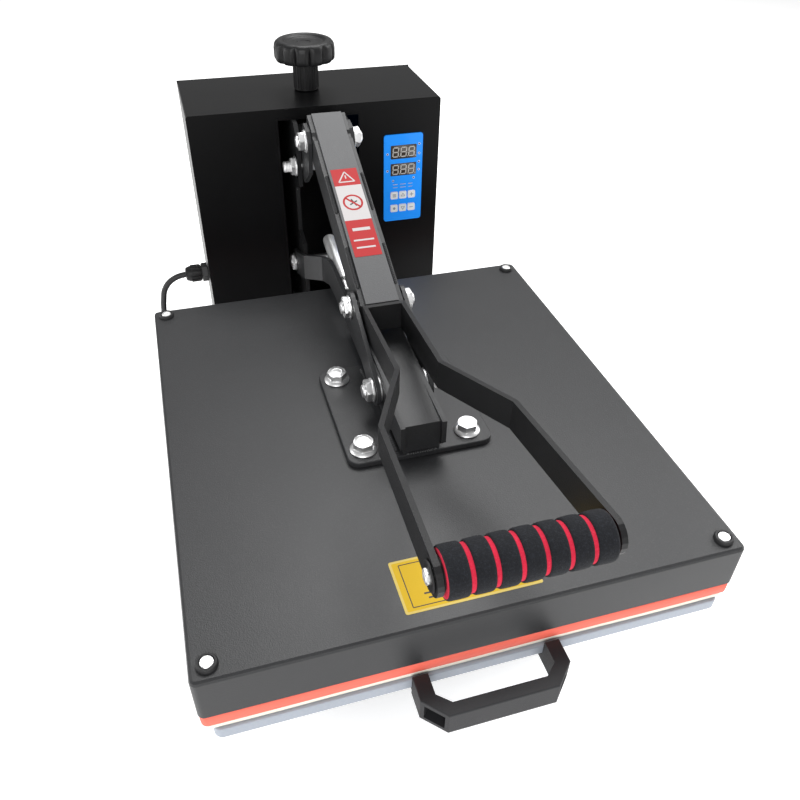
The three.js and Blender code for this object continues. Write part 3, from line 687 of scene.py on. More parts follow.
BLACK_RUBBER = Rubber("black_rubber", (0.012, 0.012, 0.013), rough=0.6)
LEAD_RUBBER = Rubber("lead_black", (0.010, 0.010, 0.011), rough=0.5)
FELT = PressFelt("cream_felt", (0.93, 0.88, 0.76))
BOARD = PressFelt("fibre_board", (0.62, 0.60, 0.52))
# painted glow: the blue overlay film shines by itself to look brighter
OVERLAY = PrintedFilm("blue_overlay", (0.006, 0.235, 0.82), rough=0.42, glow=0.35)
WINDOW = SmokedWindow("brown_window", (0.045, 0.035, 0.028))
SEGMENT = PrintedFilm("pale_segment", (0.52, 0.50, 0.47), rough=0.5, coat=0.0)
# painted glow: the white keys and the lamps' rims shine by themselves
KEY_WHITE = PrintedFilm("key_white", (0.86, 0.90, 0.96), rough=0.4, glow=0.6)
KEY_GREY = PrintedFilm("key_grey_mark", (0.30, 0.33, 0.38), rough=0.5, coat=0.0)
LABEL_RED = PrintedFilm("label_red", (0.40, 0.009, 0.011), rough=0.55, coat=0.0)
LABEL_WHITE = PrintedFilm("label_white", (0.52, 0.50, 0.50), rough=0.55, coat=0.0)
LABEL_YELLOW = PrintedFilm("label_yellow", (0.58, 0.37, 0.005), rough=0.6, coat=0.0)
LABEL_CREAM = PrintedFilm("label_cream", (0.60, 0.46, 0.12), rough=0.6, coat=0.0)
LABEL_ORANGE = PrintedFilm("label_orange", (0.80, 0.22, 0.015), rough=0.45)
LABEL_BLACK = PrintedFilm("label_black", (0.015, 0.013, 0.012), rough=0.45, coat=0.0)
LED_OFF = PrintedFilm("led_dark", (0.01, 0.05, 0.16), rough=0.3)
PAPER = StudioSweep("studio_sweep", (0.93, 0.93, 0.93))


# ---------------------------------------------------------------- mesh building


def ring_outline(radius: float, sides: int) -> list[Pair]:
    """Points of a circle."""
    turn = 2 * math.pi / sides
    return [(radius * math.cos(i * turn), radius * math.sin(i * turn)) for i in range(sides)]


def round_rect(width: float, height: float, radius: float, steps: int = 6) -> list[Pair]:
    """Points of a rectangle with round corners, counter-clockwise around (0, 0).

    Args:
        width: The full width.
        height: The full height.
        radius: The corner radius.
        steps: How many steps each corner has.

    Returns:
        The points.
    """
    points: list[Pair] = []
    for quarter, (sx, sy) in enumerate(((1, 1), (-1, 1), (-1, -1), (1, -1))):
        cx = sx * (width / 2 - radius)
        cy = sy * (height / 2 - radius)
        for step in range(steps + 1):
            angle = math.pi / 2 * (quarter + step / steps)
            points.append((cx + radius * math.cos(angle), cy + radius * math.sin(angle)))
    return points


@dataclass
class Shape:
    """Points and faces of one piece in millimetres, gathered solid by solid."""

    points: list[Vector] = field(default_factory=list)
    faces: list[tuple[int, ...]] = field(default_factory=list)
    marks: list[int] = field(default_factory=list)

    def stack(
        self, rings: Sequence[Sequence[Vector]], mark: int = 0, marks: Sequence[int] = (), close: bool = False
    ) -> None:
        """Skins a stack of rings with the same number of points.

        Args:
            rings: The rings, from the bottom to the top.
            mark: The finish of the caps, and of the bands unless marks is given.
            marks: The finish of each band.
            close: True joins the last ring to the first, for a ring-shaped solid.
        """
        sides = len(rings[0])
        start = len(self.points)
        for ring in rings:
            self.points.extend(ring)
        count = len(rings) if close else len(rings) - 1
        for row in range(count):
            above = (row + 1) % len(rings)
            for i in range(sides):
                j = (i + 1) % sides
                self.faces.append((start + row * sides + i, start + row * sides + j,
                                   start + above * sides + j, start + above * sides + i))
                self.marks.append(marks[row] if marks else mark)
        if not close:
            self.faces.append(tuple(start + i for i in reversed(range(sides))))
            self.faces.append(tuple(start + (len(rings) - 1) * sides + i for i in range(sides)))
            self.marks += [marks[0] if marks else mark, marks[-1] if marks else mark]

    def turned(
        self, profile: Sequence[Pair], place: Matrix, sides: int = 40, marks: Sequence[int] = (),
        close: bool = False,
    ) -> None:
        """A body turned about its own Z.

        Args:
            profile: (radius, height) pairs from the bottom to the top; small radii close the ends.
            place: Where the body's own origin and axes lie, in millimetres.
            sides: How many sides the rings have.
            marks: The finish of each band of the profile.
            close: True for a ring-shaped solid, whose profile closes on itself.
        """
        rings = []
        for radius, height in profile:
            rings.append([place @ Vector((x, y, height)) for x, y in ring_outline(max(radius, 0.01), sides)])
        self.stack(rings, marks=marks, close=close)

    def prism(
        self, outline: Sequence[Pair], low: float, high: float, place: Matrix, mark: int = 0,
        soft: float = 0.0,
    ) -> None:
        """A flat body with an outline, from low to high on its own Z, its top edge softened by soft.

        Args:
            outline: The outline's points, counter-clockwise.
            low: Where it starts on its own Z.
            high: Where it ends on its own Z.
            place: Where it lies, in millimetres.
            mark: Its finish.
            soft: How far the top edge is eased.
        """
        cx = sum(x for x, _ in outline) / len(outline)
        cy = sum(y for _, y in outline) / len(outline)
        reach = max(math.hypot(x - cx, y - cy) for x, y in outline)
        layers = [(low, 1.0), (high, 1.0)]
        if soft > 0:
            inward = 1.0 - soft / reach
            layers = [(low, 1.0), (high - soft, 1.0), (high - soft * 0.3, (1 + inward) / 2), (high, inward)]
        rings = []
        for height, share in layers:
            scaled = [(cx + (x - cx) * share, cy + (y - cy) * share, height) for x, y in outline]
            rings.append([place @ Vector(point) for point in scaled])
        self.stack(rings, mark=mark)

    def bar(
        self, start: Pair, end: Pair, width: float, low: float, high: float, place: Matrix, mark: int = 0
    ) -> None:
        """A thin straight bar between two points of its own plane.

        Args:
            start: The first end, in its own plane.
            end: The other end.
            width: Its width.
            low: Where it starts on its own Z.
            high: Where it ends on its own Z.
            place: Where it lies, in millimetres.
            mark: Its finish.
        """
        along = Vector((end[0] - start[0], end[1] - start[1]))
        side = Vector((-along.y, along.x)).normalized() * (width / 2)
        outline = [
            (start[0] - side.x, start[1] - side.y), (end[0] - side.x, end[1] - side.y),
            (end[0] + side.x, end[1] + side.y), (start[0] + side.x, start[1] + side.y),
        ]
        self.prism(outline, low, high, place, mark)

    def piece(
        self, name: str, body: Body | str, finishes: Sequence[Finish], soft_edge: float = 35.0
    ) -> bpy.types.Object:
        """Makes the object, dresses it and lets it ride.

        Args:
            name: The piece's name.
            body: The body that it moves with.
            finishes: One finish for each mark in use.
            soft_edge: Edges flatter than this many degrees are shaded smooth.

        Returns:
            The object.
        """
        origin = platen_origin()
        mesh = bpy.data.meshes.new(name)
        mesh.from_pydata([origin + p * MM for p in self.points], [], self.faces)
        for finish in finishes:
            mesh.materials.append(finish.build())
        mesh.polygons.foreach_set("material_index", self.marks)
        mesh.polygons.foreach_set("use_smooth", [True] * len(self.faces))
        mesh.update()
        mesh.set_sharp_from_angle(angle=math.radians(soft_edge))
        made = bpy.data.objects.new(name, mesh)
        bpy.context.scene.collection.objects.link(made)
        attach(made, body.value if isinstance(body, Body) else body)
        LOG.info("%s: %d faces on %s", name, len(self.faces), body)
        return made


def placed(x: float, y: float, z: float, toward: Toward = Toward.UP) -> Matrix:
    """A place in millimetres whose own +Z looks toward a direction."""
    return Matrix.Translation((x, y, z)) @ toward.turn()


def node_place(node: str) -> Vector:
    """The middle of a CAD node, in millimetres from the platen's origin."""
    return (middle(node) - platen_origin()) / MM


def node_box(node: str) -> tuple[Vector, Vector]:
    """The two corners of a CAD node's box, in millimetres from the platen's origin."""
    low, high = ((Vector(corner) - platen_origin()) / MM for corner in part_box(node))
    return low, high


def lifted(place: Matrix, height: float) -> Matrix:
    """The same place, moved along its own +Z."""
    return place @ Matrix.Translation((0, 0, height))


def shifted(place: Matrix, sideways: float) -> Matrix:
    """The same place, moved along its own +X."""
    return place @ Matrix.Translation((sideways, 0, 0))


# ---------------------------------------------------------------- studio


@dataclass
class Studio:
    """Camera, pale floor and soft lights."""

    lens: float = 34.72
    place: Triple = (-155.7, -500.4, 434.1)
    azimuth: float = 17.29
    pitch: float = 38.92
    roll: float = 1.15
    floor_half: float = 14.0

    def camera(self) -> None:
        """Makes the camera and makes it the scene's own."""
        az, down, roll = (math.radians(a) for a in (self.azimuth, self.pitch, self.roll))
        ahead = Vector((math.sin(az) * math.cos(down), math.cos(az) * math.cos(down), -math.sin(down)))
        level = Vector((math.cos(az), -math.sin(az), 0.0))
        above = level.cross(ahead)
        right = math.cos(roll) * level + math.sin(roll) * above
        up = -math.sin(roll) * level + math.cos(roll) * above
        lens = bpy.data.cameras.new("studio_camera")
        lens.lens = self.lens
        lens.sensor_width = 36.0
        lens.clip_start = 0.02
        lens.clip_end = 60.0
        camera = bpy.data.objects.new("studio_camera", lens)
        turn = Matrix((right, up, -ahead)).transposed().to_4x4()
        camera.matrix_world = Matrix.Translation(at(*self.place)) @ turn
        bpy.context.scene.collection.objects.link(camera)
        bpy.context.scene.camera = camera

    def floor(self) -> None:
        """Lays the pale floor."""
        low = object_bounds()[0].z
        half = self.floor_half
        corners = [(-half, -half, low), (half, -half, low), (half, half, low), (-half, half, low)]
        mesh = bpy.data.meshes.new("floor")
        mesh.from_pydata(corners, [], [(0, 1, 2, 3)])
        mesh.materials.append(PAPER.build())
        floor = bpy.data.objects.new("floor", mesh)
        bpy.context.scene.collection.objects.link(floor)
        floor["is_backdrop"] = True

    def lamp(self, name: str, place: Triple, aim: Triple, size: Pair, power: float) -> None:
        """Hangs one soft box.

        Args:
            name: The lamp's name.
            place: Where it hangs, in metres.
            aim: The point it looks at, in metres.
            size: Its width and height, in metres.
            power: Its power in watts.
        """
        light = bpy.data.lights.new(name, "AREA")
        light.shape = "RECTANGLE"
        light.size, light.size_y = size
        light.energy = power
        lamp = bpy.data.objects.new(name, light)
        lamp.location = place
        lamp.rotation_mode = "QUATERNION"
        lamp.rotation_quaternion = (Vector(aim) - Vector(place)).to_track_quat("-Z", "Y")
        bpy.context.scene.collection.objects.link(lamp)

    def light(self) -> None:
        """Sets the lamps and the even surround."""
        self.lamp("overhead_box", (0.5, 1.0, 2.3), (0.1, 0.0, 0.2), (1.6, 1.2), 48.0)
        self.lamp("front_box", (-0.9, -2.4, 1.5), (0.0, 0.0, 0.2), (1.8, 1.4), 46.0)
        self.lamp("left_box", (-2.4, 0.7, 0.9), (0.0, 0.1, 0.2), (1.2, 1.2), 22.0)
        self.lamp("right_box", (1.9, 0.4, 1.3), (0.1, -0.1, 0.2), (1.0, 1.0), 22.0)
        world = bpy.data.worlds.new("surround")
        world.use_nodes = True
        back = world.node_tree.nodes["Background"]
        back.inputs["Color"].default_value = (1.0, 1.0, 1.0, 1.0)
        back.inputs["Strength"].default_value = 0.38
        bpy.context.scene.world = world
        bpy.context.scene.view_settings.view_transform = "Standard"

    def build(self) -> None:
        """Makes the whole set."""
        self.camera()
        self.floor()
        self.light()


# ---------------------------------------------------------------- mains lead


@dataclass
class MainsLead:
    """The lead: gland, free run, wound turns, tie and plug."""

    thick: float = 7.0
    length: float = 1.8
    coil_radius: float = 42.0
    pitch: float = 7.1
    whole_turns: int = 5
    per_turn: int = 24
    start_out: float = 5.7
    lane_hold: float = 0.45
    table_clear: float = 0.6
    free_run: tuple[Triple, ...] = (
        (-147, 370, -44), (-163, 370, -44.2), (-178.5, 370, -48.4), (-189.8, 370, -59.7),
        (-194.5, 370.5, -75.6), (-197.5, 372, -97), (-201, 375, -120), (-200.5, 380, -143),
        (-192.5, 390, -166), (-179, 406, -186.9),
        (-163, 426, -203.9), (-147, 449, -211.9), (-133, 469.4, -211.9), (-125.5, 485.4, -211.9),
    )

    def coil_middle(self) -> Vector:
        """The middle of the wound turns on the table, in millimetres.

        Returns:
            The point on the table.
        """
        place = node_place("cord_coil")
        floor = (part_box("foot_front_left")[0][2] - platen_origin().z) / MM
        return Vector((place.x, place.y, floor))

    def turns(self) -> list[Vector]:
        """Points of the wound turns: inwards on the lower layer, then outwards on the upper.

        Returns:
            The points in order.
        """
        centre = self.coil_middle()
        lanes = [(1, 0), (0, 0), (-1, 0), (-1, 1), (0, 1), (1, 1), (1, 1)]
        points = []
        total = self.whole_turns * self.per_turn + self.per_turn // 4
        for step in range(total + 1):
            turn = step / self.per_turn
            lane = min(int(turn), len(lanes) - 2)
            share = min(max((turn - lane - self.lane_hold) / (1.0 - self.lane_hold), 0.0), 1.0)
            share = share * share * (3 - 2 * share)
            side = lanes[lane][0] + (lanes[lane + 1][0] - lanes[lane][0]) * share
            layer = lanes[lane][1] + (lanes[lane + 1][1] - lanes[lane][1]) * share
            run_in = self.start_out * max(0.0, 1.0 - turn * 4) ** 2
            radius = self.coil_radius + side * self.pitch + run_in
            angle = math.pi - turn * 2 * math.pi
            height = self.thick / 2 + self.table_clear + layer * self.pitch
            points.append(centre + Vector((radius * math.cos(angle), radius * math.sin(angle), height)))
        return points

    def cord(self) -> bpy.types.Object:
        """The lead itself, one spline from the gland to the plug.

        Returns:
            The lead.
        """
        low, high = node_box("mains_plug")
        plug_in = Vector((low.x, (low.y + high.y) / 2, (low.z + high.z) / 2))
        wound = self.turns()
        points = [Vector(p) for p in self.free_run] + wound
        points += [wound[-1].lerp(plug_in, 0.5), plug_in + Vector((3.0, 0.0, 0.0))]
        line = bpy.data.curves.new("power_lead", "CURVE")
        line.dimensions = "3D"
        line.bevel_depth = self.thick / 2 * MM
        line.bevel_resolution = 5
        line.resolution_u = 6
        spline = line.splines.new("BEZIER")
        spline.bezier_points.add(len(points) - 1)
        for knot, point in zip(spline.bezier_points, points):
            knot.co = platen_origin() + point * MM
            knot.handle_left_type = knot.handle_right_type = "AUTO"
        line.use_fill_caps = True
        line.materials.append(LEAD_RUBBER.build())
        cord = bpy.data.objects.new("power_lead", line)
        bpy.context.scene.collection.objects.link(cord)
        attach(cord, Body.STAND.value)
        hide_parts("power_cord", "cord_coil")
        return cord

    def plug(self) -> bpy.types.Object:
        """The moulded plug with two flat pins and finger ribs.

        Returns:
            The plug.
        """
        low, high = node_box("mains_plug")
        y, z = (low.y + high.y) / 2, (low.z + high.z) / 2
        shape = Shape()
        place = placed(low.x, y, z, Toward.RIGHT)
        sections = [(0.0, 9, 9), (3, 10, 10), (10, 14, 13), (12, 17, 15), (14, 15, 14), (16, 18, 16),
                    (18, 16, 15), (21, 21, 20.5), (32.5, 22, 21.4), (34.0, 20.5, 20)]
        rings = []
        for along, wide, tall in sections:
            rings.append([place @ Vector((px, py, along)) for px, py in round_rect(wide, tall, 4.0)])
        shape.stack(rings)
        for side in (-5.5, 5.5):
            shape.prism(round_rect(6.0, 1.6, 0.5), 33.0, 51.6, shifted(place, side), mark=1, soft=0.5)
        made = shape.piece("plug", Body.STAND, (KNOB_BLACK, ZINC))
        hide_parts("mains_plug")
        return made

    def tie(self) -> bpy.types.Object:
        """The twist tie that holds the turns together.

        Returns:
            The tie.
        """
        centre = self.coil_middle()
        shape = Shape()
        knot = centre + Vector((0, -self.coil_radius, self.thick + 1.6))
        place = Matrix.Translation(knot) @ Toward.RIGHT.turn()
        inner = [place @ Vector((x, y, -2)) for x, y in round_rect(22.4, 15.0, 5.0)]
        rings = [inner]
        for wide, along in ((24.0, -2), (24.0, 2), (22.4, 2)):
            rings.append([place @ Vector((x, y, along)) for x, y in round_rect(wide, wide - 7.4, 5.6)])
        shape.stack(rings, close=True)
        return shape.piece("lead_tie", Body.STAND, (KNOB_BLACK,))

    def gland(self) -> bpy.types.Object:
        """The cable gland: lock nut, ribbed cap and tapered throat.

        Returns:
            The gland.
        """
        low, high = node_box("cable_gland")
        y, z = (low.y + high.y) / 2, (low.z + high.z) / 2
        shape = Shape()
        place = placed(high.x - 8, y, z, Toward.LEFT)
        profile = [(3.9, -7.5), (8, -7.5), (8, 8.6), (3.9, 8.6)]
        shape.turned(profile, place, sides=32, close=True)
        hexagon = [(11.2, 0.4), (11.2, 6.6), (10.4, 7.6), (4.0, 7.6), (4.0, 0.4)]
        shape.turned([(r, h) for r, h in hexagon], place, sides=6, close=True)
        cap = [(4.0, 8.0), (9.4, 8.0), (9.6, 9.0), (9.6, 20.0)]
        cap += [(9.0, 23.0), (7.6, 26.2), (5.2, 27.0), (4.0, 26.6)]
        shape.turned(cap, place, sides=36, close=True)
        for i in range(14):
            spin = Matrix.Rotation(i * math.tau / 14, 4, "Z")
            shape.prism(round_rect(1.6, 1.4, 0.4, 2), 9.4, 20.4, shifted(place @ spin, 9.7))
        made = shape.piece("gland", Body.STAND, (KNOB_BLACK,))
        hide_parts("cable_gland")
        return made

    def build(self) -> None:
        """Makes the lead, its plug, its tie and its gland."""
        cord = self.cord()
        plug = self.plug()
        tie = self.tie()
        self.gland()


# ---------------------------------------------------------------- stand, box and arm


def dress(nodes: Iterable[str], finish: Finish, bevel: float = 0.0, segments: int = 2) -> None:
    """Gives CAD nodes their finish and softened edges.

    Args:
        nodes: The nodes' names.
        finish: The finish they all take.
        bevel: The width of the softened edge in millimetres, or 0 for none.
        segments: How many facets the softened edge has.
    """
    for name in nodes:
        shape = bpy.data.objects[name]
        shape.data.materials.clear()
        shape.data.materials.append(finish.build())
        if bevel > 0:
            soft = shape.modifiers.new("soft_edges", "BEVEL")
            soft.width = bevel * MM
            soft.segments = segments
            soft.limit_method = "ANGLE"
            soft.angle_limit = math.radians(40.0)
            soft.harden_normals = False
        for face in shape.data.polygons:
            face.use_smooth = True
        shape.data.set_sharp_from_angle(angle=math.radians(32.0))
        LOG.info("%s: %s", name, finish.name)


@dataclass
class Hardware:
    """Screws, washers, nuts and weld beads, made by the dozen."""

    def screw(self, shape: Shape, place: Matrix, radius: float, mark: int = 0) -> None:
        """A pan-head screw with a cross recess in its crown.

        Args:
            shape: The piece that it joins.
            place: Where its seat lies, in millimetres, with the head along its own +Z.
            radius: The radius of its head.
            mark: The finish number.
        """
        crown = radius * 0.62
        profile = [(radius, 0.0), (radius, crown * 0.45), (radius * 0.86, crown * 0.8),
                   (radius * 0.6, crown), (radius * 0.22, crown), (0.01, crown * 0.35)]
        rings = []
        for row, (size, height) in enumerate(profile):
            ring = []
            for i in range(24):
                angle = i * math.tau / 24
                pull = 1.0
                if row == 4:
                    pull = 2.3 if i % 6 == 0 else 0.75
                reach = size * pull
                ring.append(place @ Vector((reach * math.cos(angle), reach * math.sin(angle), height)))
            rings.append(ring)
        shape.stack(rings, mark=mark)

    def washer(
        self, shape: Shape, place: Matrix, inner: float, outer: float, thick: float, mark: int = 0
    ) -> None:
        """A flat washer with eased rims.

        Args:
            shape: The shape that it joins.
            place: Its seat, in millimetres.
            inner: The hole's radius.
            outer: The outer radius.
            thick: Its thickness.
            mark: Its finish.
        """
        ease = min(0.35, thick * 0.3)
        profile = [(inner, 0.0), (outer - ease, 0.0), (outer, ease), (outer, thick - ease),
                   (outer - ease, thick), (inner, thick)]
        shape.turned(profile, place, sides=36, marks=[mark] * 6, close=True)

    def nut(
        self, shape: Shape, place: Matrix, across: float, thick: float, bore: float, mark: int = 0
    ) -> None:
        """A hexagon nut or head with chamfered corners: six sides cut by a cone.

        Args:
            shape: The piece that it joins.
            place: Where its seat lies, in millimetres.
            across: Its width across flats.
            thick: Its height.
            bore: The radius of its hole, or 0 for a bolt head.
            mark: The finish number.
        """
        sides = 48
        corner = across / math.sqrt(3)

        def hexagon(angle: float) -> float:
            """The distance from the middle to the side at an angle."""
            local = (angle % (math.pi / 3)) - math.pi / 6
            return across / 2 / math.cos(local)

        rings = []
        levels = [(0.0, 0.94), (thick * 0.12, 1.0), (thick * 0.84, 1.0), (thick * 0.95, 0.955), (thick, 0.88)]
        for height, cone in levels:
            ring = []
            for i in range(sides):
                angle = i * math.tau / sides
                reach = min(hexagon(angle), corner * cone)
                ring.append(place @ Vector((reach * math.cos(angle), reach * math.sin(angle), height)))
            rings.append(ring)
        if bore > 0:
            for height in (thick * 0.97, 0.0):
                rings.append([place @ Vector((x, y, height)) for x, y in ring_outline(bore, sides)])
        shape.stack(rings, mark=mark, close=bore > 0)

    def bolt_tip(self, shape: Shape, place: Matrix, radius: float, length: float, mark: int = 0) -> None:
        """The threaded tip of a bolt, with a chamfered end.

        Args:
            shape: The shape that it joins.
            place: Where the tip starts, in millimetres.
            radius: The thread's radius.
            length: Its length.
            mark: Its finish.
        """
        pitch = 1.5
        profile = [(radius, 0.0)]
        height = 0.0
        while height + pitch < length - 1.0:
            profile += [(radius - 0.55, height + pitch / 2), (radius, height + pitch)]
            height += pitch
        profile += [(radius - 0.2, length - 1.0), (radius - 1.2, length)]
        shape.turned(profile, place, sides=28, marks=[mark] * len(profile))

    def bead(self, shape: Shape, start: Vector, end: Vector, radius: float, mark: int = 0) -> None:
        """A weld bead of overlapping ripples between two points.

        Args:
            shape: The piece that it joins.
            start: Where it begins, in millimetres.
            end: Where it ends.
            radius: Its half width.
            mark: The finish number.
        """
        along = (end - start).normalized()
        frame_turn = along.to_track_quat("Z", "Y").to_matrix().to_4x4()
        length = (end - start).length
        steps = max(6, int(length / (radius * 0.55)))
        rings = []
        for step in range(steps + 1):
            swell = radius * (0.86 + 0.14 * math.cos(step * math.pi)) * (0.35 if step in (0, steps) else 1.0)
            place = Matrix.Translation(start + along * (length * step / steps)) @ frame_turn
            rings.append([place @ Vector((x, y, 0)) for x, y in ring_outline(swell, 10)])
        shape.stack(rings, mark=mark)


HARDWARE = Hardware()


@dataclass
class PivotHardware:
    """Bright pivot bolts: washer, lock nut and threaded tip on both sides of the linkage."""

    across: float = 17.0
    washer_out: float = 10.5
    shaft: float = 6.0

    def ends(self, name: str, node: str, body: Body, inner: float, tip: float, left_tip: float = 0.0) -> None:
        """Stands detailed bolt ends in for a cross bolt.

        Args:
            name: The piece's name.
            node: The CAD node that it stands for.
            body: The body that it rides on.
            inner: The distance from the middle plane to the face under the washer.
            tip: The distance from the middle plane to the bolt's end.
            left_tip: How much further the left end stands out.
        """
        centre = node_place(node)
        shape = Shape()
        for toward, extra in ((Toward.RIGHT, 0.0), (Toward.LEFT, left_tip)):
            place = lifted(placed(0, centre.y, centre.z, toward), inner)
            HARDWARE.washer(shape, place, self.shaft + 0.1, self.washer_out, 1.6)
            face = place @ Matrix.Translation((0, 0, 1.6)) @ Matrix.Rotation(0.3, 4, "Z")
            thick = max(3.0, tip - inner - 4.2)
            HARDWARE.nut(shape, face, self.across, thick, self.shaft + 0.05)
            HARDWARE.bolt_tip(shape, place, self.shaft - 0.02, tip - inner + extra)
        middle = Matrix.Translation((-inner, centre.y, centre.z)) @ Toward.RIGHT.turn()
        shape.turned([(self.shaft, 0), (self.shaft, 2 * inner)], middle, sides=32)
        made = shape.piece(name, body, (ZINC,))
        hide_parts(node)

    def link_ends(self, inner: float = 24.9, tip: float = 34.0) -> None:
        """Stands detailed ends in for the toggle pivot's two half bolts.

        Args:
            inner: The distance from the middle plane to the face under the washer.
            tip: The distance from the middle plane to the bolt's end.
        """
        for side, toward in (("left", Toward.LEFT), ("right", Toward.RIGHT)):
            node = f"pivot_b_end_{side}"
            centre = node_place(node)
            shape = Shape()
            place = lifted(placed(0, centre.y, centre.z, toward), inner + 0.3)
            HARDWARE.washer(shape, place, self.shaft + 0.1, self.washer_out, 1.6)
            face = place @ Matrix.Translation((0, 0, 1.6))
            HARDWARE.nut(shape, face, self.across, tip - inner - 4.4, self.shaft + 0.05)
            HARDWARE.bolt_tip(shape, lifted(place, -3.9), self.shaft - 0.02, tip - inner + 3.5)
            made = shape.piece(f"toggle_bolt_{side}", Body.LINKS, (ZINC,))
            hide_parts(node)

    def spacers(self) -> None:
        """Bright bushes between the bars, the bracket and the links."""
        pivot_a = node_place("pivot_a_bolt")
        pivot_c = node_place("pivot_c_bolt")
        pivot_d = node_place("pivot_d_bolt")
        for name, body, centre, low, high in (
            ("bush_c", Body.PLATEN, pivot_c, 19.4, 21.2), ("bush_a", Body.BRACKET, pivot_a, 24.2, 24.4),
            ("bush_d", Body.PLATEN, pivot_d, 29.4, 29.8),
        ):
            shape = Shape()
            for toward in (Toward.RIGHT, Toward.LEFT):
                place = lifted(placed(0, centre.y, centre.z, toward), low)
                HARDWARE.washer(shape, place, self.shaft + 0.3, 11.5, high - low)
            shape.piece(name, body, (ZINC,))

    def build(self) -> None:
        """Makes every pivot bolt."""
        self.ends("lift_pivot_bolt", "pivot_a_bolt", Body.BRACKET, 24.3, 34.0)
        self.ends("yoke_pivot_bolt", "pivot_c_bolt", Body.PLATEN, 25.2, 34.6)
        self.ends("hinge_pivot_bolt", "pivot_d_bolt", Body.STAND, 34.2, 40.5)
        self.ends("guide_cross_bolt", "guide_bolt", Body.BRACKET, 29.6, 38.3, left_tip=5.0)
        self.link_ends()
        self.spacers()


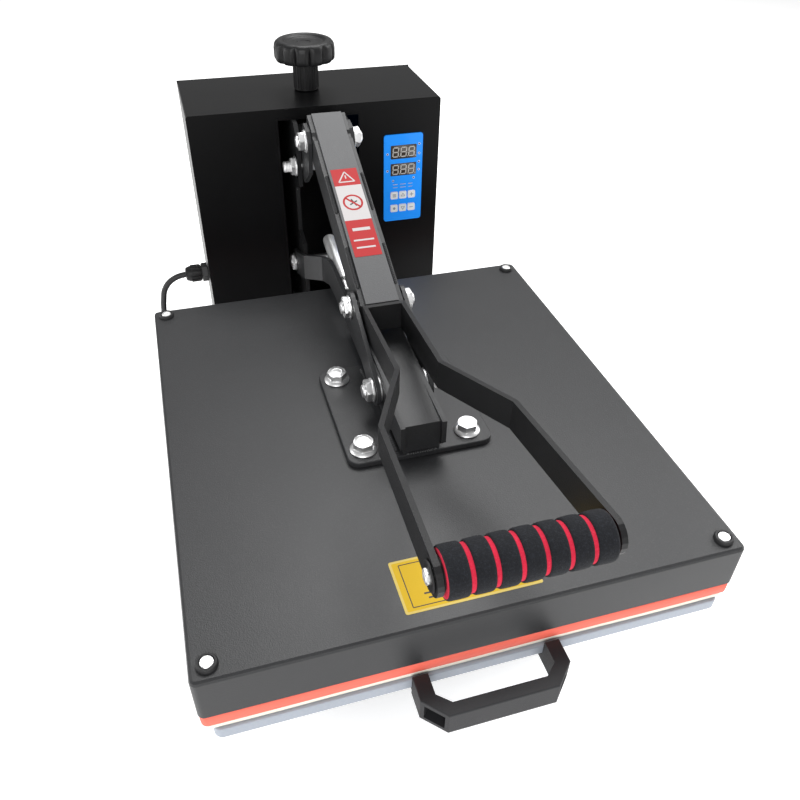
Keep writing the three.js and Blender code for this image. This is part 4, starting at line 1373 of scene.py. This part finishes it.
@dataclass
class Platen:
    """Upper platen: cover, corner studs, flange bolts, weld beads and warning sticker."""

    stud_x: float = 187.5
    stud_y: float = 207.5
    bush: float = 7.2
    sticker_x: float = -7.0
    sticker_y: float = -184.3
    sticker: Pair = (100.0, 45.5)

    def studs(self) -> None:
        """Four rubber bushes with bright screws at the corners."""
        shape = Shape()
        for sx in (-1, 1):
            for sy in (-1, 1):
                place = placed(sx * self.stud_x, sy * self.stud_y, 0.0)
                profile = [(self.bush, -0.4), (self.bush, 2.4), (self.bush - 0.7, 3.4)]
                profile += [(5.2, 3.4), (4.9, 2.2), (0.02, 2.2)]
                shape.turned(profile, place, sides=40, marks=[0] * 6)
                disc = [(4.6, 2.0), (4.6, 2.9), (4.2, 3.3), (2.2, 3.4), (1.9, 2.9), (0.02, 2.9)]
                shape.turned(disc, place, sides=36, marks=[1] * 6)
        shape.piece("corner_studs", Body.PLATEN, (BLACK_RUBBER, ZINC))

    def bolts(self) -> None:
        """Flange bolts that hold the mounting plate."""
        for node in ("flange_bolt_front_left", "flange_bolt_front_right", "flange_bolt_back_left",
                     "flange_bolt_back_right"):
            low = (Vector(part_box(node)[0]) - platen_origin()) / MM
            centre = node_place(node)
            shape = Shape()
            place = placed(centre.x, centre.y, low.z) @ Matrix.Rotation(centre.x + centre.y, 4, "Z")
            flange = [(11.2, 0.0), (11.3, 0.9), (10.9, 1.5), (9.0, 2.6), (8.2, 3.0), (4.0, 3.0)]
            shape.turned(flange, place, sides=40)
            HARDWARE.nut(shape, place @ Matrix.Translation((0, 0, 2.2)), 15.6, 6.6, 0.0)
            dimple = [(5.0, 8.7), (5.2, 8.95), (5.0, 9.0), (4.2, 8.7), (0.01, 8.5)]
            shape.turned(dimple, place, sides=30)
            made = shape.piece(node.replace("flange_bolt", "plate_bolt"), Body.PLATEN, (ZINC,))
            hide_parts(node)

    def welds(self) -> None:
        """Beads along both sides of the yoke on its mounting plate."""
        low, high = node_box("mounting_plate")
        shape = Shape()
        for side in (-1, 1):
            x = side * 19.6
            for start, end in ((low.y + 6, low.y + 44), (low.y + 74, high.y - 6)):
                HARDWARE.bead(shape, Vector((x, start, high.z + 0.5)), Vector((x, end, high.z + 0.5)), 2.3)
        left, right = (Vector((x, low.y + 0.2, high.z + 0.4)) for x in (-13, 13))
        HARDWARE.bead(shape, left, right, 1.8)
        shape.piece("yoke_weld", Body.PLATEN, (CHARCOAL,))

    def warning(self) -> None:
        """A yellow sticker with a triangle and plain rules."""
        shape = Shape()
        wide, tall = self.sticker
        place = placed(self.sticker_x, self.sticker_y, 0.05)
        shape.prism(round_rect(wide, tall, 1.6), 0.0, 0.16, place, mark=0)
        shape.prism(round_rect(wide - 3.6, tall - 3.6, 0.8), 0.10, 0.22, place, mark=1)
        frame_half = (wide / 2 - 6.4, tall / 2 - 4.4)
        corners = [(-frame_half[0], -frame_half[1]), (frame_half[0], -frame_half[1]),
                   (frame_half[0], frame_half[1]), (-frame_half[0], frame_half[1])]
        for first, second in zip(corners, corners[1:] + corners[:1]):
            shape.bar(first, second, 0.7, 0.18, 0.27, place, mark=2)
        peak, left, right = (-17.0, 12.5), (-27.5, -4.5), (-6.5, -4.5)
        for first, second in ((peak, left), (left, right), (right, peak)):
            shape.bar(first, second, 1.5, 0.18, 0.28, place, mark=2)
        inner = [(-17.0, 8.2), (-23.6, -2.6), (-10.4, -2.6)]
        shape.prism(inner, 0.18, 0.26, place, mark=3)
        shape.bar((-17.0, 4.8), (-17.0, 0.6), 1.5, 0.2, 0.3, place, mark=2)
        shape.prism([(-17.0 + x, -0.9 + y) for x, y in ring_outline(0.7, 12)], 0.2, 0.3, place, mark=2)
        rules = ((0.5, 33.0, 3.4), (0.5, 30.0, 1.5), (0.5, 33.5, 1.5), (0.5, 24.0, 1.5))
        for row, (start, end, weight) in enumerate(rules):
            height = 9.6 - row * 5.0
            shape.bar((start, height), (end, height), weight, 0.18, 0.27, place, mark=2)
        for row, (start, end) in enumerate(((-33.0, 34.0), (-31.0, 22.0))):
            height = -9.2 - row * 4.0
            shape.bar((start, height), (end, height), 1.3, 0.18, 0.27, place, mark=2)
        shape.piece("cover_sticker", Body.PLATEN, (LABEL_CREAM, LABEL_YELLOW, LABEL_BLACK, LABEL_ORANGE))

    def build(self) -> None:
        """Makes the platen's pieces."""
        dress(("platen_cover",), CHARCOAL)
        dress(("mounting_plate",), CHARCOAL, 0.4)
        dress(("platen_yoke",), CHARCOAL, 0.7)
        dress(("heating_plate",), CAST, 0.6)
        dress(("insulation_board",), BOARD)
        self.studs()
        self.bolts()
        self.welds()
        self.warning()


@dataclass
class Lower:
    """Drawer: rubber sheet, felt, cast plate, runners, rails and pull handle."""

    def sheet_piece(
        self, name: str, node: str, finish: Finish, edge: float, ripple: float
    ) -> None:
        """A soft flat sheet with rounded edges and a barely uneven face.

        Args:
            name: The piece's name.
            node: The CAD node that it stands for.
            finish: Its finish.
            edge: The radius of its edge, in millimetres.
            ripple: How uneven its rim is, in millimetres.
        """
        low, high = node_box(node)
        wide, deep, thick = high.x - low.x, high.y - low.y, high.z - low.z
        centre = Vector(((low.x + high.x) / 2, (low.y + high.y) / 2, 0))
        outline = []
        for (x0, y0), (x1, y1) in zip(*self.ring_pairs(round_rect(wide, deep, 5.0, 8))):
            count = max(1, int(math.hypot(x1 - x0, y1 - y0) / 8.0))
            for step in range(count):
                share = step / count
                outline.append((x0 + (x1 - x0) * share, y0 + (y1 - y0) * share))
        rings = []
        for turn in range(7):
            angle = -math.pi / 2 + math.pi * turn / 6
            inset = edge * (1 - math.cos(angle))
            height = (low.z + edge if turn < 3 else high.z - edge) if turn != 3 else (low.z + high.z) / 2
            height += edge * math.sin(angle) if turn != 3 else 0
            ring = []
            for x, y in outline:
                swing = math.sin(x * 0.031 + y * 0.043) * math.sin(x * 0.011 - y * 0.017)
                wave = ripple * (0.5 + 0.5 * swing)
                sx = 1 - (inset + wave) / (wide / 2)
                sy = 1 - (inset + wave) / (deep / 2)
                ring.append(centre + Vector((x * sx, y * sy, height)))
            rings.append(ring)
        shape = Shape()
        for share in (0.5, 0.9):
            spread = [((p.x - centre.x) * share, (p.y - centre.y) * share, low.z) for p in rings[0]]
            flat = [centre + Vector(offset) for offset in spread]
            rings.insert(0 if share == 0.5 else 1, flat)
        for share in (0.9, 0.5):
            rings.append([centre + Vector(((p.x - centre.x) * share, (p.y - centre.y) * share, high.z))
                          for p in rings[8]])
        shape.stack(rings)
        made = shape.piece(name, Body.DRAWER, (finish,), soft_edge=50)
        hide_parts(node)
        LOG.info("%s is %.1f mm thick", name, thick)

    @staticmethod
    def ring_pairs(points: Sequence[Pair]) -> tuple[list[Pair], list[Pair]]:
        """Each point, and the one after it around the outline."""
        return list(points), list(points[1:]) + [points[0]]

    def plate_screws(self) -> None:
        """Screws under the bed that hold the rails on it."""
        shape = Shape()
        bed = (Vector(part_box("bed_plate")[0]) - platen_origin()) / MM
        for side in (-1, 1):
            for y in (-120.0, 0.0, 120.0):
                place = Matrix.Translation((side * 96.0, y, bed.z)) @ Matrix.Rotation(math.pi, 4, "X")
                HARDWARE.screw(shape, place, 4.6)
        shape.piece("rail_screws", Body.STAND, (ZINC,))

    def build(self) -> None:
        """Makes the drawer's pieces."""
        dress(("lower_platen",), CAST, 0.5)
        dress(("runner_left", "runner_right", "slide_rail_left", "slide_rail_right"), STEEL, 0.3)
        dress(("pull_handle",), HANDLE_BLACK, 0.5)
        self.sheet_piece("rubber_sheet", "silicone_pad", SILICONE, 1.1, 0.4)
        self.sheet_piece("felt_layer", "pad_backing", FELT, 0.9, 0.8)
        self.plate_screws()


@dataclass
class Grip:
    """Cross grip: banded foam sleeve with red cores, washers and domed nuts."""

    bands: int = 7
    groove: float = 3.0
    depth: float = 1.6
    cap: float = 4.0

    def sleeve(self) -> None:
        """The foam sleeve, dark bands between red grooves."""
        low, high = node_box("foam_grip")
        centre = node_place("foam_grip")
        radius = (high.z - low.z) / 2
        length = high.x - low.x
        pitch = length / self.bands
        profile = [(6.4, 0.0), (radius - 2.6, 0.0), (radius - 2.2, 0.15)]
        marks = [1, 1]
        for band in range(self.bands):
            start = band * pitch + (self.groove / 2 if band else 0.3)
            stop = (band + 1) * pitch - (self.groove / 2 if band < self.bands - 1 else 0.3)
            outer = radius - 0.12
            swell = [(radius - self.depth, start - 0.01), (radius - self.depth * 0.45, start + 0.1),
                     (outer - 0.15, start + 0.9), (outer, start + 2.2), (outer + 0.1, (start + stop) / 2),
                     (outer, stop - 2.2), (outer - 0.15, stop - 0.9),
                     (radius - self.depth * 0.45, stop - 0.1),
                     (radius - self.depth, stop + 0.01)]
            profile += swell
            marks += [1] + [0] * 8
        profile += [(radius - 2.2, length - 0.15), (radius - 2.6, length), (6.4, length)]
        marks += [1, 1, 1, 1]
        shape = Shape()
        place = placed(low.x, centre.y, centre.z, Toward.RIGHT)
        shape.turned(profile, place, sides=56, marks=marks[:len(profile)], close=True)
        made = shape.piece("foam_sleeve", Body.HANDLE, (FOAM_SKIN, FOAM_CORE), soft_edge=60)
        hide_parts("foam_grip")

    def ends(self) -> None:
        """Black end washers against the foam, and domed bright nuts outside the fork."""
        _, high = node_box("grip_rod")
        centre = node_place("grip_rod")
        outer = high.x - self.cap
        shape = Shape()
        for side, toward in ((-1, Toward.LEFT), (1, Toward.RIGHT)):
            seat = placed(side * (outer - 6.0), centre.y, centre.z, toward)
            HARDWARE.washer(shape, seat, 6.3, 11.0, 1.2, mark=1)
            out = placed(side * outer, centre.y, centre.z, toward)
            disc = [(9.4, 0.0), (9.8, 0.4), (9.8, 0.9), (9.2, 1.3), (6.4, 1.4), (0.02, 1.4)]
            shape.turned(disc, out, sides=40, marks=[1] * 6)
            HARDWARE.nut(shape, out @ Matrix.Translation((0, 0, 1.2)), 9.0, 1.9, 0.0)
            dome = [(3.2, 3.0), (3.0, 3.5), (2.1, 3.8), (0.01, self.cap)]
            shape.turned(dome, out, sides=28)
        inside = placed(-outer - 0.1, centre.y, centre.z, Toward.RIGHT)
        shape.turned([(5.9, 0.0), (5.9, 2 * outer + 0.2)], inside, sides=28, marks=[0, 0])
        made = shape.piece("grip_bolt", Body.HANDLE, (ZINC, KNOB_BLACK))
        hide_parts("grip_rod")

    def build(self) -> None:
        """Makes the grip."""
        self.sleeve()
        self.ends()


@dataclass
class Arm:
    """Lever arm: tube, side bars, fork, weld beads and sticker."""

    tilt: float = 24.11
    above: float = 18.6
    sticker_wide: float = 25.4

    def on_arm(self, along: float, across: float, sideways: float = 0.0) -> Vector:
        """A point of the arm in millimetres: along and across the tube from its rear pivot.

        Args:
            along: The distance along the tube from its rear pivot.
            across: The height above the line of the pivots.
            sideways: The distance to the right of the middle plane.

        Returns:
            The point.
        """
        pivot = node_place("pivot_a_bolt")
        turn = math.radians(self.tilt)
        return Vector((sideways, pivot.y + along * math.cos(turn) - across * math.sin(turn),
                       pivot.z + along * math.sin(turn) + across * math.cos(turn)))

    def sticker(self) -> None:
        """A sticker along the tube's top: red, white and red fields with plain signs."""
        turn = math.radians(self.tilt)
        base = self.on_arm(-164.0, self.above + 0.05)
        place = Matrix.Translation(base) @ Matrix.Rotation(turn, 4, "X")
        shape = Shape()
        half = self.sticker_wide / 2
        fields = ((0.0, 42.0, 0), (42.0, 84.0, 1), (84.0, 105.0, 0))
        for start, stop, mark in fields:
            outline = [(-half, start), (half, start), (half, stop), (-half, stop)]
            shape.prism(outline, 0.0, 0.16, place, mark=mark)
        ring = [(r * math.cos(a), 63.0 + r * math.sin(a)) for r in (8.6,) for a in
                [i * math.tau / 40 for i in range(41)]]
        for first, second in zip(ring, ring[1:]):
            shape.bar(first, second, 1.9, 0.1, 0.24, place, mark=0)
        slash = 8.6 * math.sqrt(0.5)
        shape.bar((-slash, 63.0 + slash), (slash, 63.0 - slash), 1.8, 0.1, 0.24, place, mark=0)
        shape.bar((-3.2, 60.5), (4.2, 64.5), 1.4, 0.1, 0.2, place, mark=2)
        shape.bar((-1.0, 67.0), (2.6, 58.6), 1.4, 0.1, 0.2, place, mark=2)
        peak, left, right = (0.0, 101.0), (-7.6, 88.6), (7.6, 88.6)
        for first, second in ((peak, left), (left, right), (right, peak)):
            shape.bar(first, second, 1.3, 0.1, 0.22, place, mark=1)
        shape.bar((0.0, 96.6), (0.0, 92.6), 1.2, 0.1, 0.22, place, mark=1)
        rules = ((31.0, -8.0, 8.6, 3.4), (18.5, -9.6, 9.4, 1.8), (10.0, -8.8, 8.8, 1.8))
        for height, start, stop, weight in rules:
            shape.bar((start, height), (stop, height), weight, 0.1, 0.22, place, mark=1)
        shape.piece("arm_sticker", Body.HANDLE, (LABEL_RED, LABEL_WHITE, LABEL_BLACK))

    def welds(self) -> None:
        """Beads where the side bars meet the tube and where the fork meets the bars."""
        shape = Shape()
        for side in (-1, 1):
            x = side * 17.2
            for start, stop in ((-196.0, -150.0), (-110.0, -64.0)):
                first, second = (self.on_arm(place, self.above - 2.3, x) for place in (start, stop))
                HARDWARE.bead(shape, first, second, 1.7)
        _, fork = node_box("handle_fork")
        for side in (-1, 1):
            x = side * 13.0
            first, second = (Vector((x, fork.y - 0.4, fork.z - drop)) for drop in (50.0, 28.0))
            HARDWARE.bead(shape, first, second, 1.7)
        shape.piece("arm_weld", Body.HANDLE, (BAR_GREY,))

    def build(self) -> None:
        """Makes the arm's pieces."""
        dress(("arm_tube",), TUBE_GREY, 2.0, 3)
        dress(("arm_bar_left", "arm_bar_right"), BAR_GREY, 0.6)
        dress(("handle_fork",), FORK_BLACK, 0.7)
        dress(("link_left", "link_right", "pressure_bracket"), CHARCOAL, 0.6)
        dress(("pivot_b_shaft",), ZINC, 0.3)
        self.sticker()
        self.welds()


# ---------------------------------------------------------------- control box


@dataclass
class Display:
    """Blue display module: windows, digits, lamps and marks on the keys."""

    digit_wide: float = 6.2
    digit_tall: float = 10.2
    stroke: float = 1.25

    def spot(self, across: float, down: float) -> Pair:
        """A place on the face from its shares across and down, in millimetres from its middle."""
        low, high = (Vector(c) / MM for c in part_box("display_panel"))
        return ((across - 0.5) * (high.x - low.x), (0.5 - down) * (high.z - low.z))

    def face(self) -> Matrix:
        """The middle of the module's front face, looking at the operator.

        Returns:
            The place.
        """
        low = (Vector(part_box("display_panel")[0]) - platen_origin()) / MM
        centre = node_place("display_panel")
        return placed(centre.x, low.y - 0.02, centre.z, Toward.FRONT)

    def digit(self, shape: Shape, x: float, y: float, lit: str) -> None:
        """One seven-segment digit.

        Args:
            shape: The piece that it joins.
            x: The middle of the digit across the face.
            y: Its middle up the face.
            lit: Letters a to g of its pale segments.
        """
        w, h = self.digit_wide / 2, self.digit_tall / 2
        lean = 0.5
        ends = {"a": ((-w, h), (w, h)), "b": ((w, h), (w, 0)), "c": ((w, 0), (w, -h)),
                "d": ((-w, -h), (w, -h)),
                "e": ((-w, 0), (-w, -h)), "f": ((-w, h), (-w, 0)), "g": ((-w, 0), (w, 0))}
        for key in lit:
            (x0, y0), (x1, y1) = ends[key]
            trim = 0.45 / max(math.hypot(x1 - x0, y1 - y0), 1e-6)
            start = (x + x0 + (x1 - x0) * trim + lean * y0 / h * 0.6, y + y0 + (y1 - y0) * trim)
            stop = (x + x1 - (x1 - x0) * trim + lean * y1 / h * 0.6, y + y1 - (y1 - y0) * trim)
            shape.bar(start, stop, self.stroke, 0.2, 0.36, self.face(), mark=1)

    def windows(self) -> None:
        """Two smoked windows with three digits each."""
        shape = Shape()
        for top, bottom in ((0.118, 0.270), (0.322, 0.462)):
            left, high = self.spot(0.17, top)
            right, low = self.spot(0.84, bottom)
            middle_x, middle_y = (left + right) / 2, (high + low) / 2
            place = self.face() @ Matrix.Translation((middle_x, middle_y, 0))
            shape.prism(round_rect(right - left, high - low, 1.0), 0.0, 0.3, place, mark=0, soft=0.12)
            for column in (-1, 0, 1):
                self.digit(shape, middle_x + column * 9.2, middle_y, "abcdefg")
                dot = [(middle_x + column * 9.2 + 4.7 + a, middle_y - self.digit_tall / 2 + b)
                       for a, b in ring_outline(0.55, 12)]
                shape.prism(dot, 0.2, 0.34, self.face(), mark=1)
        shape.piece("display_windows", Body.STAND, (WINDOW, SEGMENT))

    def lamps(self) -> None:
        """Small lamps beside and below the windows, in raised rims that carry a painted glow."""
        shape = Shape()
        places = [(0.09, 0.21), (0.09, 0.40), (0.91, 0.12), (0.91, 0.225), (0.91, 0.32), (0.91, 0.41),
                  (0.24, 0.52), (0.78, 0.50)]
        for across, down in places:
            x, y = self.spot(across, down)
            place = self.face() @ Matrix.Translation((x, y, 0))
            # the rims take the key white finish, whose glow is painted light
            shape.turned([(1.25, 0.0), (1.25, 0.2), (0.95, 0.3), (0.85, 0.2), (0.85, 0.0)], place, sides=20,
                         marks=[1] * 5, close=True)
            shape.turned([(0.85, 0.0), (0.8, 0.35), (0.5, 0.6), (0.05, 0.7)], place, sides=16, marks=[0] * 4)
        for row, down in enumerate((0.565, 0.60)):
            for across, wide in ((0.30, 5.5), (0.5, 6.5), (0.70, 5.0)):
                x, y = self.spot(across, down)
                left, right = (x - wide / 2, y), (x + wide / 2, y)
                shape.bar(left, right, 0.7 - row * 0.15, 0.0, 0.14, self.face(), mark=2)
        shape.piece("display_lamps", Body.STAND, (LED_OFF, KEY_WHITE, SEGMENT))

    def marks(self) -> None:
        """Plain raised marks on the keys: bars, a ring, arrows and a dot."""
        for index in range(1, 7):
            node = f"key_{index}"
            low = (Vector(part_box(node)[0]) - platen_origin()) / MM
            centre = node_place(node)
            place = placed(centre.x, low.y - 0.01, centre.z, Toward.FRONT)
            shape = Shape()
            if index == 1:
                for y in (-1.4, 0.0, 1.4):
                    shape.bar((-2.0, y), (2.0, y), 0.7, 0.0, 0.14, place)
            elif index == 2:
                upward = [(0, 2.2), (-2.2, -1.4), (2.2, -1.4)]
                for first, second in zip(upward, upward[1:] + upward[:1]):
                    shape.bar(first, second, 0.6, 0.0, 0.14, place)
            elif index == 3:
                shape.bar((-2.1, 0.0), (2.1, 0.0), 0.8, 0.0, 0.14, place)
                shape.bar((0.0, -2.1), (0.0, 2.1), 0.8, 0.02, 0.15, place)
            elif index == 4:
                shape.prism(ring_outline(1.5, 20), 0.0, 0.14, place)
            elif index == 5:
                downward = [(0, -2.2), (-2.2, 1.4), (2.2, 1.4)]
                for first, second in zip(downward, downward[1:] + downward[:1]):
                    shape.bar(first, second, 0.6, 0.0, 0.14, place)
            else:
                shape.bar((-2.1, 0.0), (2.1, 0.0), 0.8, 0.0, 0.14, place)
            shape.piece(f"key_mark_{index}", node, (KEY_GREY,))

    def build(self) -> None:
        """Makes the module's pieces."""
        # the overlay and the keys carry a painted glow from their finishes
        dress(("display_panel",), OVERLAY, 0.3)
        dress([f"key_{i}" for i in range(1, 7)], KEY_WHITE, 0.5, 3)
        self.windows()
        self.lamps()
        self.marks()


@dataclass
class Knob:
    """Scalloped pressure knob with a dished top and a ribbed collar."""

    lobes: int = 12
    outer: float = 32.5
    high: float = 21.0
    stem: float = 13.3

    def build(self) -> None:
        """Makes the knob and its threaded screw."""
        low, top = ((Vector(c) - platen_origin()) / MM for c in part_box("pressure_knob"))
        centre = node_place("pressure_knob")
        under = top.z - self.high
        place = placed(centre.x, centre.y, 0.0)
        shape = Shape()
        sides = 168

        def ring(radius: float, height: float, scallop: float) -> list[Vector]:
            """A ring whose rim is pressed in between its lobes.

            Args:
                radius: The radius between the lobes.
                height: The height of the ring.
                scallop: How deep the lobes are pressed in.

            Returns:
                The points.
            """
            out = []
            for i in range(sides):
                angle = i * math.tau / sides
                wave = abs(math.sin(angle * self.lobes / 2))
                pressed = radius - scallop * (1 - min(1.0, 1.25 * wave ** 0.75))
                out.append(place @ Vector((pressed * math.cos(angle), pressed * math.sin(angle), height)))
            return out

        r = self.outer
        levels = [(self.stem - 1.0, low.z, 0), (self.stem, low.z + 0.8, 0), (self.stem, under - 1.0, 0),
                  (self.stem + 1.2, under, 0), (r - 4.5, under + 0.2, 1.5), (r - 1.6, under + 1.0, 3.0),
                  (r - 0.3, under + 3.0, 3.6), (r, under + 6.0, 3.8), (r, top.z - 8.0, 3.6),
                  (r - 0.6, top.z - 4.0, 2.4), (r - 1.8, top.z - 2.0, 1.0), (r - 3.6, top.z - 0.7, 0.3),
                  (r - 5.6, top.z, 0.0), (24.2, top.z - 0.1, 0), (22.8, top.z - 0.9, 0),
                  (21.6, top.z - 2.2, 0), (19.8, top.z - 2.6, 0), (18.9, top.z - 2.2, 0),
                  (17.9, top.z - 2.3, 0), (16.6, top.z - 3.0, 0),
                  (9.5, top.z - 3.1, 0), (8.6, top.z - 2.7, 0), (7.4, top.z - 2.7, 0), (6.8, top.z - 3.3, 0),
                  (0.02, top.z - 3.4, 0)]
        shape.stack([ring(radius, height, scallop) for radius, height, scallop in levels])
        for i in range(28):
            spin = Matrix.Rotation(i * math.tau / 28, 4, "Z")
            rib = place @ spin @ Matrix.Translation((self.stem - 0.05, 0, 0))
            shape.prism(round_rect(0.9, 1.2, 0.3, 2), low.z + 2.0, under - 1.6, rib)
        made = shape.piece("knob_grip", Body.KNOB, (KNOB_BLACK,), soft_edge=40)
        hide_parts("pressure_knob")
        dress(("pressure_screw",), STEEL)


@dataclass
class Box:
    """Control box, its back cover, switch and screws, and the columns inside."""

    back_screws: tuple[Pair, ...] = (
        (-124, 152), (124, 152), (-124, -10), (124, -10), (-124, -160), (124, -160),
    )
    side_x: float = 136.0

    def screws(self) -> None:
        """Screws around the back cover and on the box's sides."""
        _, back = node_box("housing_back")
        low, high = node_box("housing_shell")
        shape = Shape()
        for x, z in self.back_screws:
            place = Matrix.Translation((x, back.y, z)) @ Matrix.Rotation(-math.pi / 2, 4, "X")
            HARDWARE.screw(shape, place, 3.6)
        for side, toward in ((low.x, Toward.LEFT), (high.x, Toward.RIGHT)):
            for y in (low.y + 14.0, high.y - 14.0):
                HARDWARE.screw(shape, placed(side, y, low.z + 12.0, toward), 3.6)
        shape.piece("box_screws", Body.STAND, (ZINC,))

    def seam(self) -> None:
        """Edging around the slot in the box's front."""
        low, _ = node_box("housing_shell")
        shape = Shape()
        place = placed(0.0, low.y + 0.75, 0.0, Toward.FRONT)
        for side in (-1, 1):
            shape.bar((side * 44.0, low.z + 0.4), (side * 44.0, 153.2), 1.3, 0.0, 1.3, place)
        shape.bar((-44.6, 154.0), (44.6, 154.0), 1.3, 0.0, 1.3, place)
        shape.piece("slot_edging", Body.STAND, (BOX_BLACK,))

    def rocker_marks(self) -> None:
        """The plain on bar and off ring on the rocker."""
        centre = node_place("power_rocker")
        shape = Shape()
        lean = math.atan2(4.2 - 1.5, 11.2)
        for up, kind in ((-5.4, "bar"), (6.0, "ring")):
            share = (up + 10.2) / 11.2 if up < 1 else (up - 1) / 9.2
            out = 4.2 - 2.7 * share if up < 1 else 1.5 + 0.9 * share
            tilt = -lean if up < 1 else math.atan2(0.9, 9.2)
            spot = Matrix.Translation((self.side_x + out + 0.03, centre.y, centre.z + up))
            place = spot @ Matrix.Rotation(tilt, 4, "Y") @ Toward.RIGHT.turn()
            if kind == "bar":
                shape.bar((0.0, -2.2), (0.0, 2.2), 1.0, -0.1, 0.12, place)
            else:
                angles = [i * math.tau / 24 for i in range(25)]
                ring = [(2.2 * math.cos(angle), 2.2 * math.sin(angle)) for angle in angles]
                for first, second in zip(ring, ring[1:]):
                    shape.bar(first, second, 0.8, -0.1, 0.12, place)
        shape.piece("rocker_marks", Body.ROCKER, (SEGMENT,))

    def build(self) -> None:
        """Makes the box's pieces."""
        dress(("housing_shell", "housing_back"), BOX_BLACK, 0.35)
        dress(("base_frame", "pedestal", "bed_plate"), DARK_STEEL, 0.8)
        dress(("column_left", "column_right"), DARK_STEEL, 0.5)
        dress(("screw_bridge",), STEEL, 0.5)
        dress(("switch_frame", "power_rocker"), KNOB_BLACK, 0.5)
        feet = [f"foot_{row}_{side}" for row in ("front", "back") for side in ("left", "right")]
        dress(feet, BLACK_RUBBER, 0.6)
        self.screws()
        self.seam()
        self.rocker_marks()


@dataclass
class Damper:
    """Bright damper between the yoke's side bars, with a cross pin at its foot."""

    top: Triple = (-5.0, 256.0, 38.0)
    foot: Triple = (-5.0, 178.0, 20.0)
    pin_half: float = 15.2

    def build(self) -> None:
        """Makes the damper."""
        top, foot = Vector(self.top), Vector(self.foot)
        along = (foot - top).normalized()
        place = Matrix.Translation(top) @ along.to_track_quat("Z", "Y").to_matrix().to_4x4()
        length = (foot - top).length
        shape = Shape()
        profile = [(2.0, -3.0), (6.5, -2.0), (7.0, 0.0), (7.0, length * 0.78), (6.4, length * 0.82),
                   (3.2, length * 0.83), (3.0, length - 2.0), (2.0, length)]
        shape.turned(profile, place, sides=32, marks=[0] * 8)
        cross = placed(-self.pin_half, foot.y, foot.z, Toward.RIGHT)
        span = 2 * self.pin_half
        shape.turned([(2.4, 0.0), (3.0, 0.5), (3.0, span - 0.5), (2.4, span)], cross, sides=24, marks=[0] * 4)
        shape.piece("balance_damper", Body.PLATEN, (ZINC,))


def main() -> None:
    """Builds the scene, camera and lead first."""
    logging.basicConfig(level=logging.INFO, format="%(name)s %(message)s")
    for part in (Studio(), MainsLead(), Box(), Display(), Knob(), Platen(), Lower(), Grip(), Arm(),
                 PivotHardware(), Damper()):
        LOG.info("building %s", type(part).__name__)
        part.build()


if __name__ == "__main__":
    main()
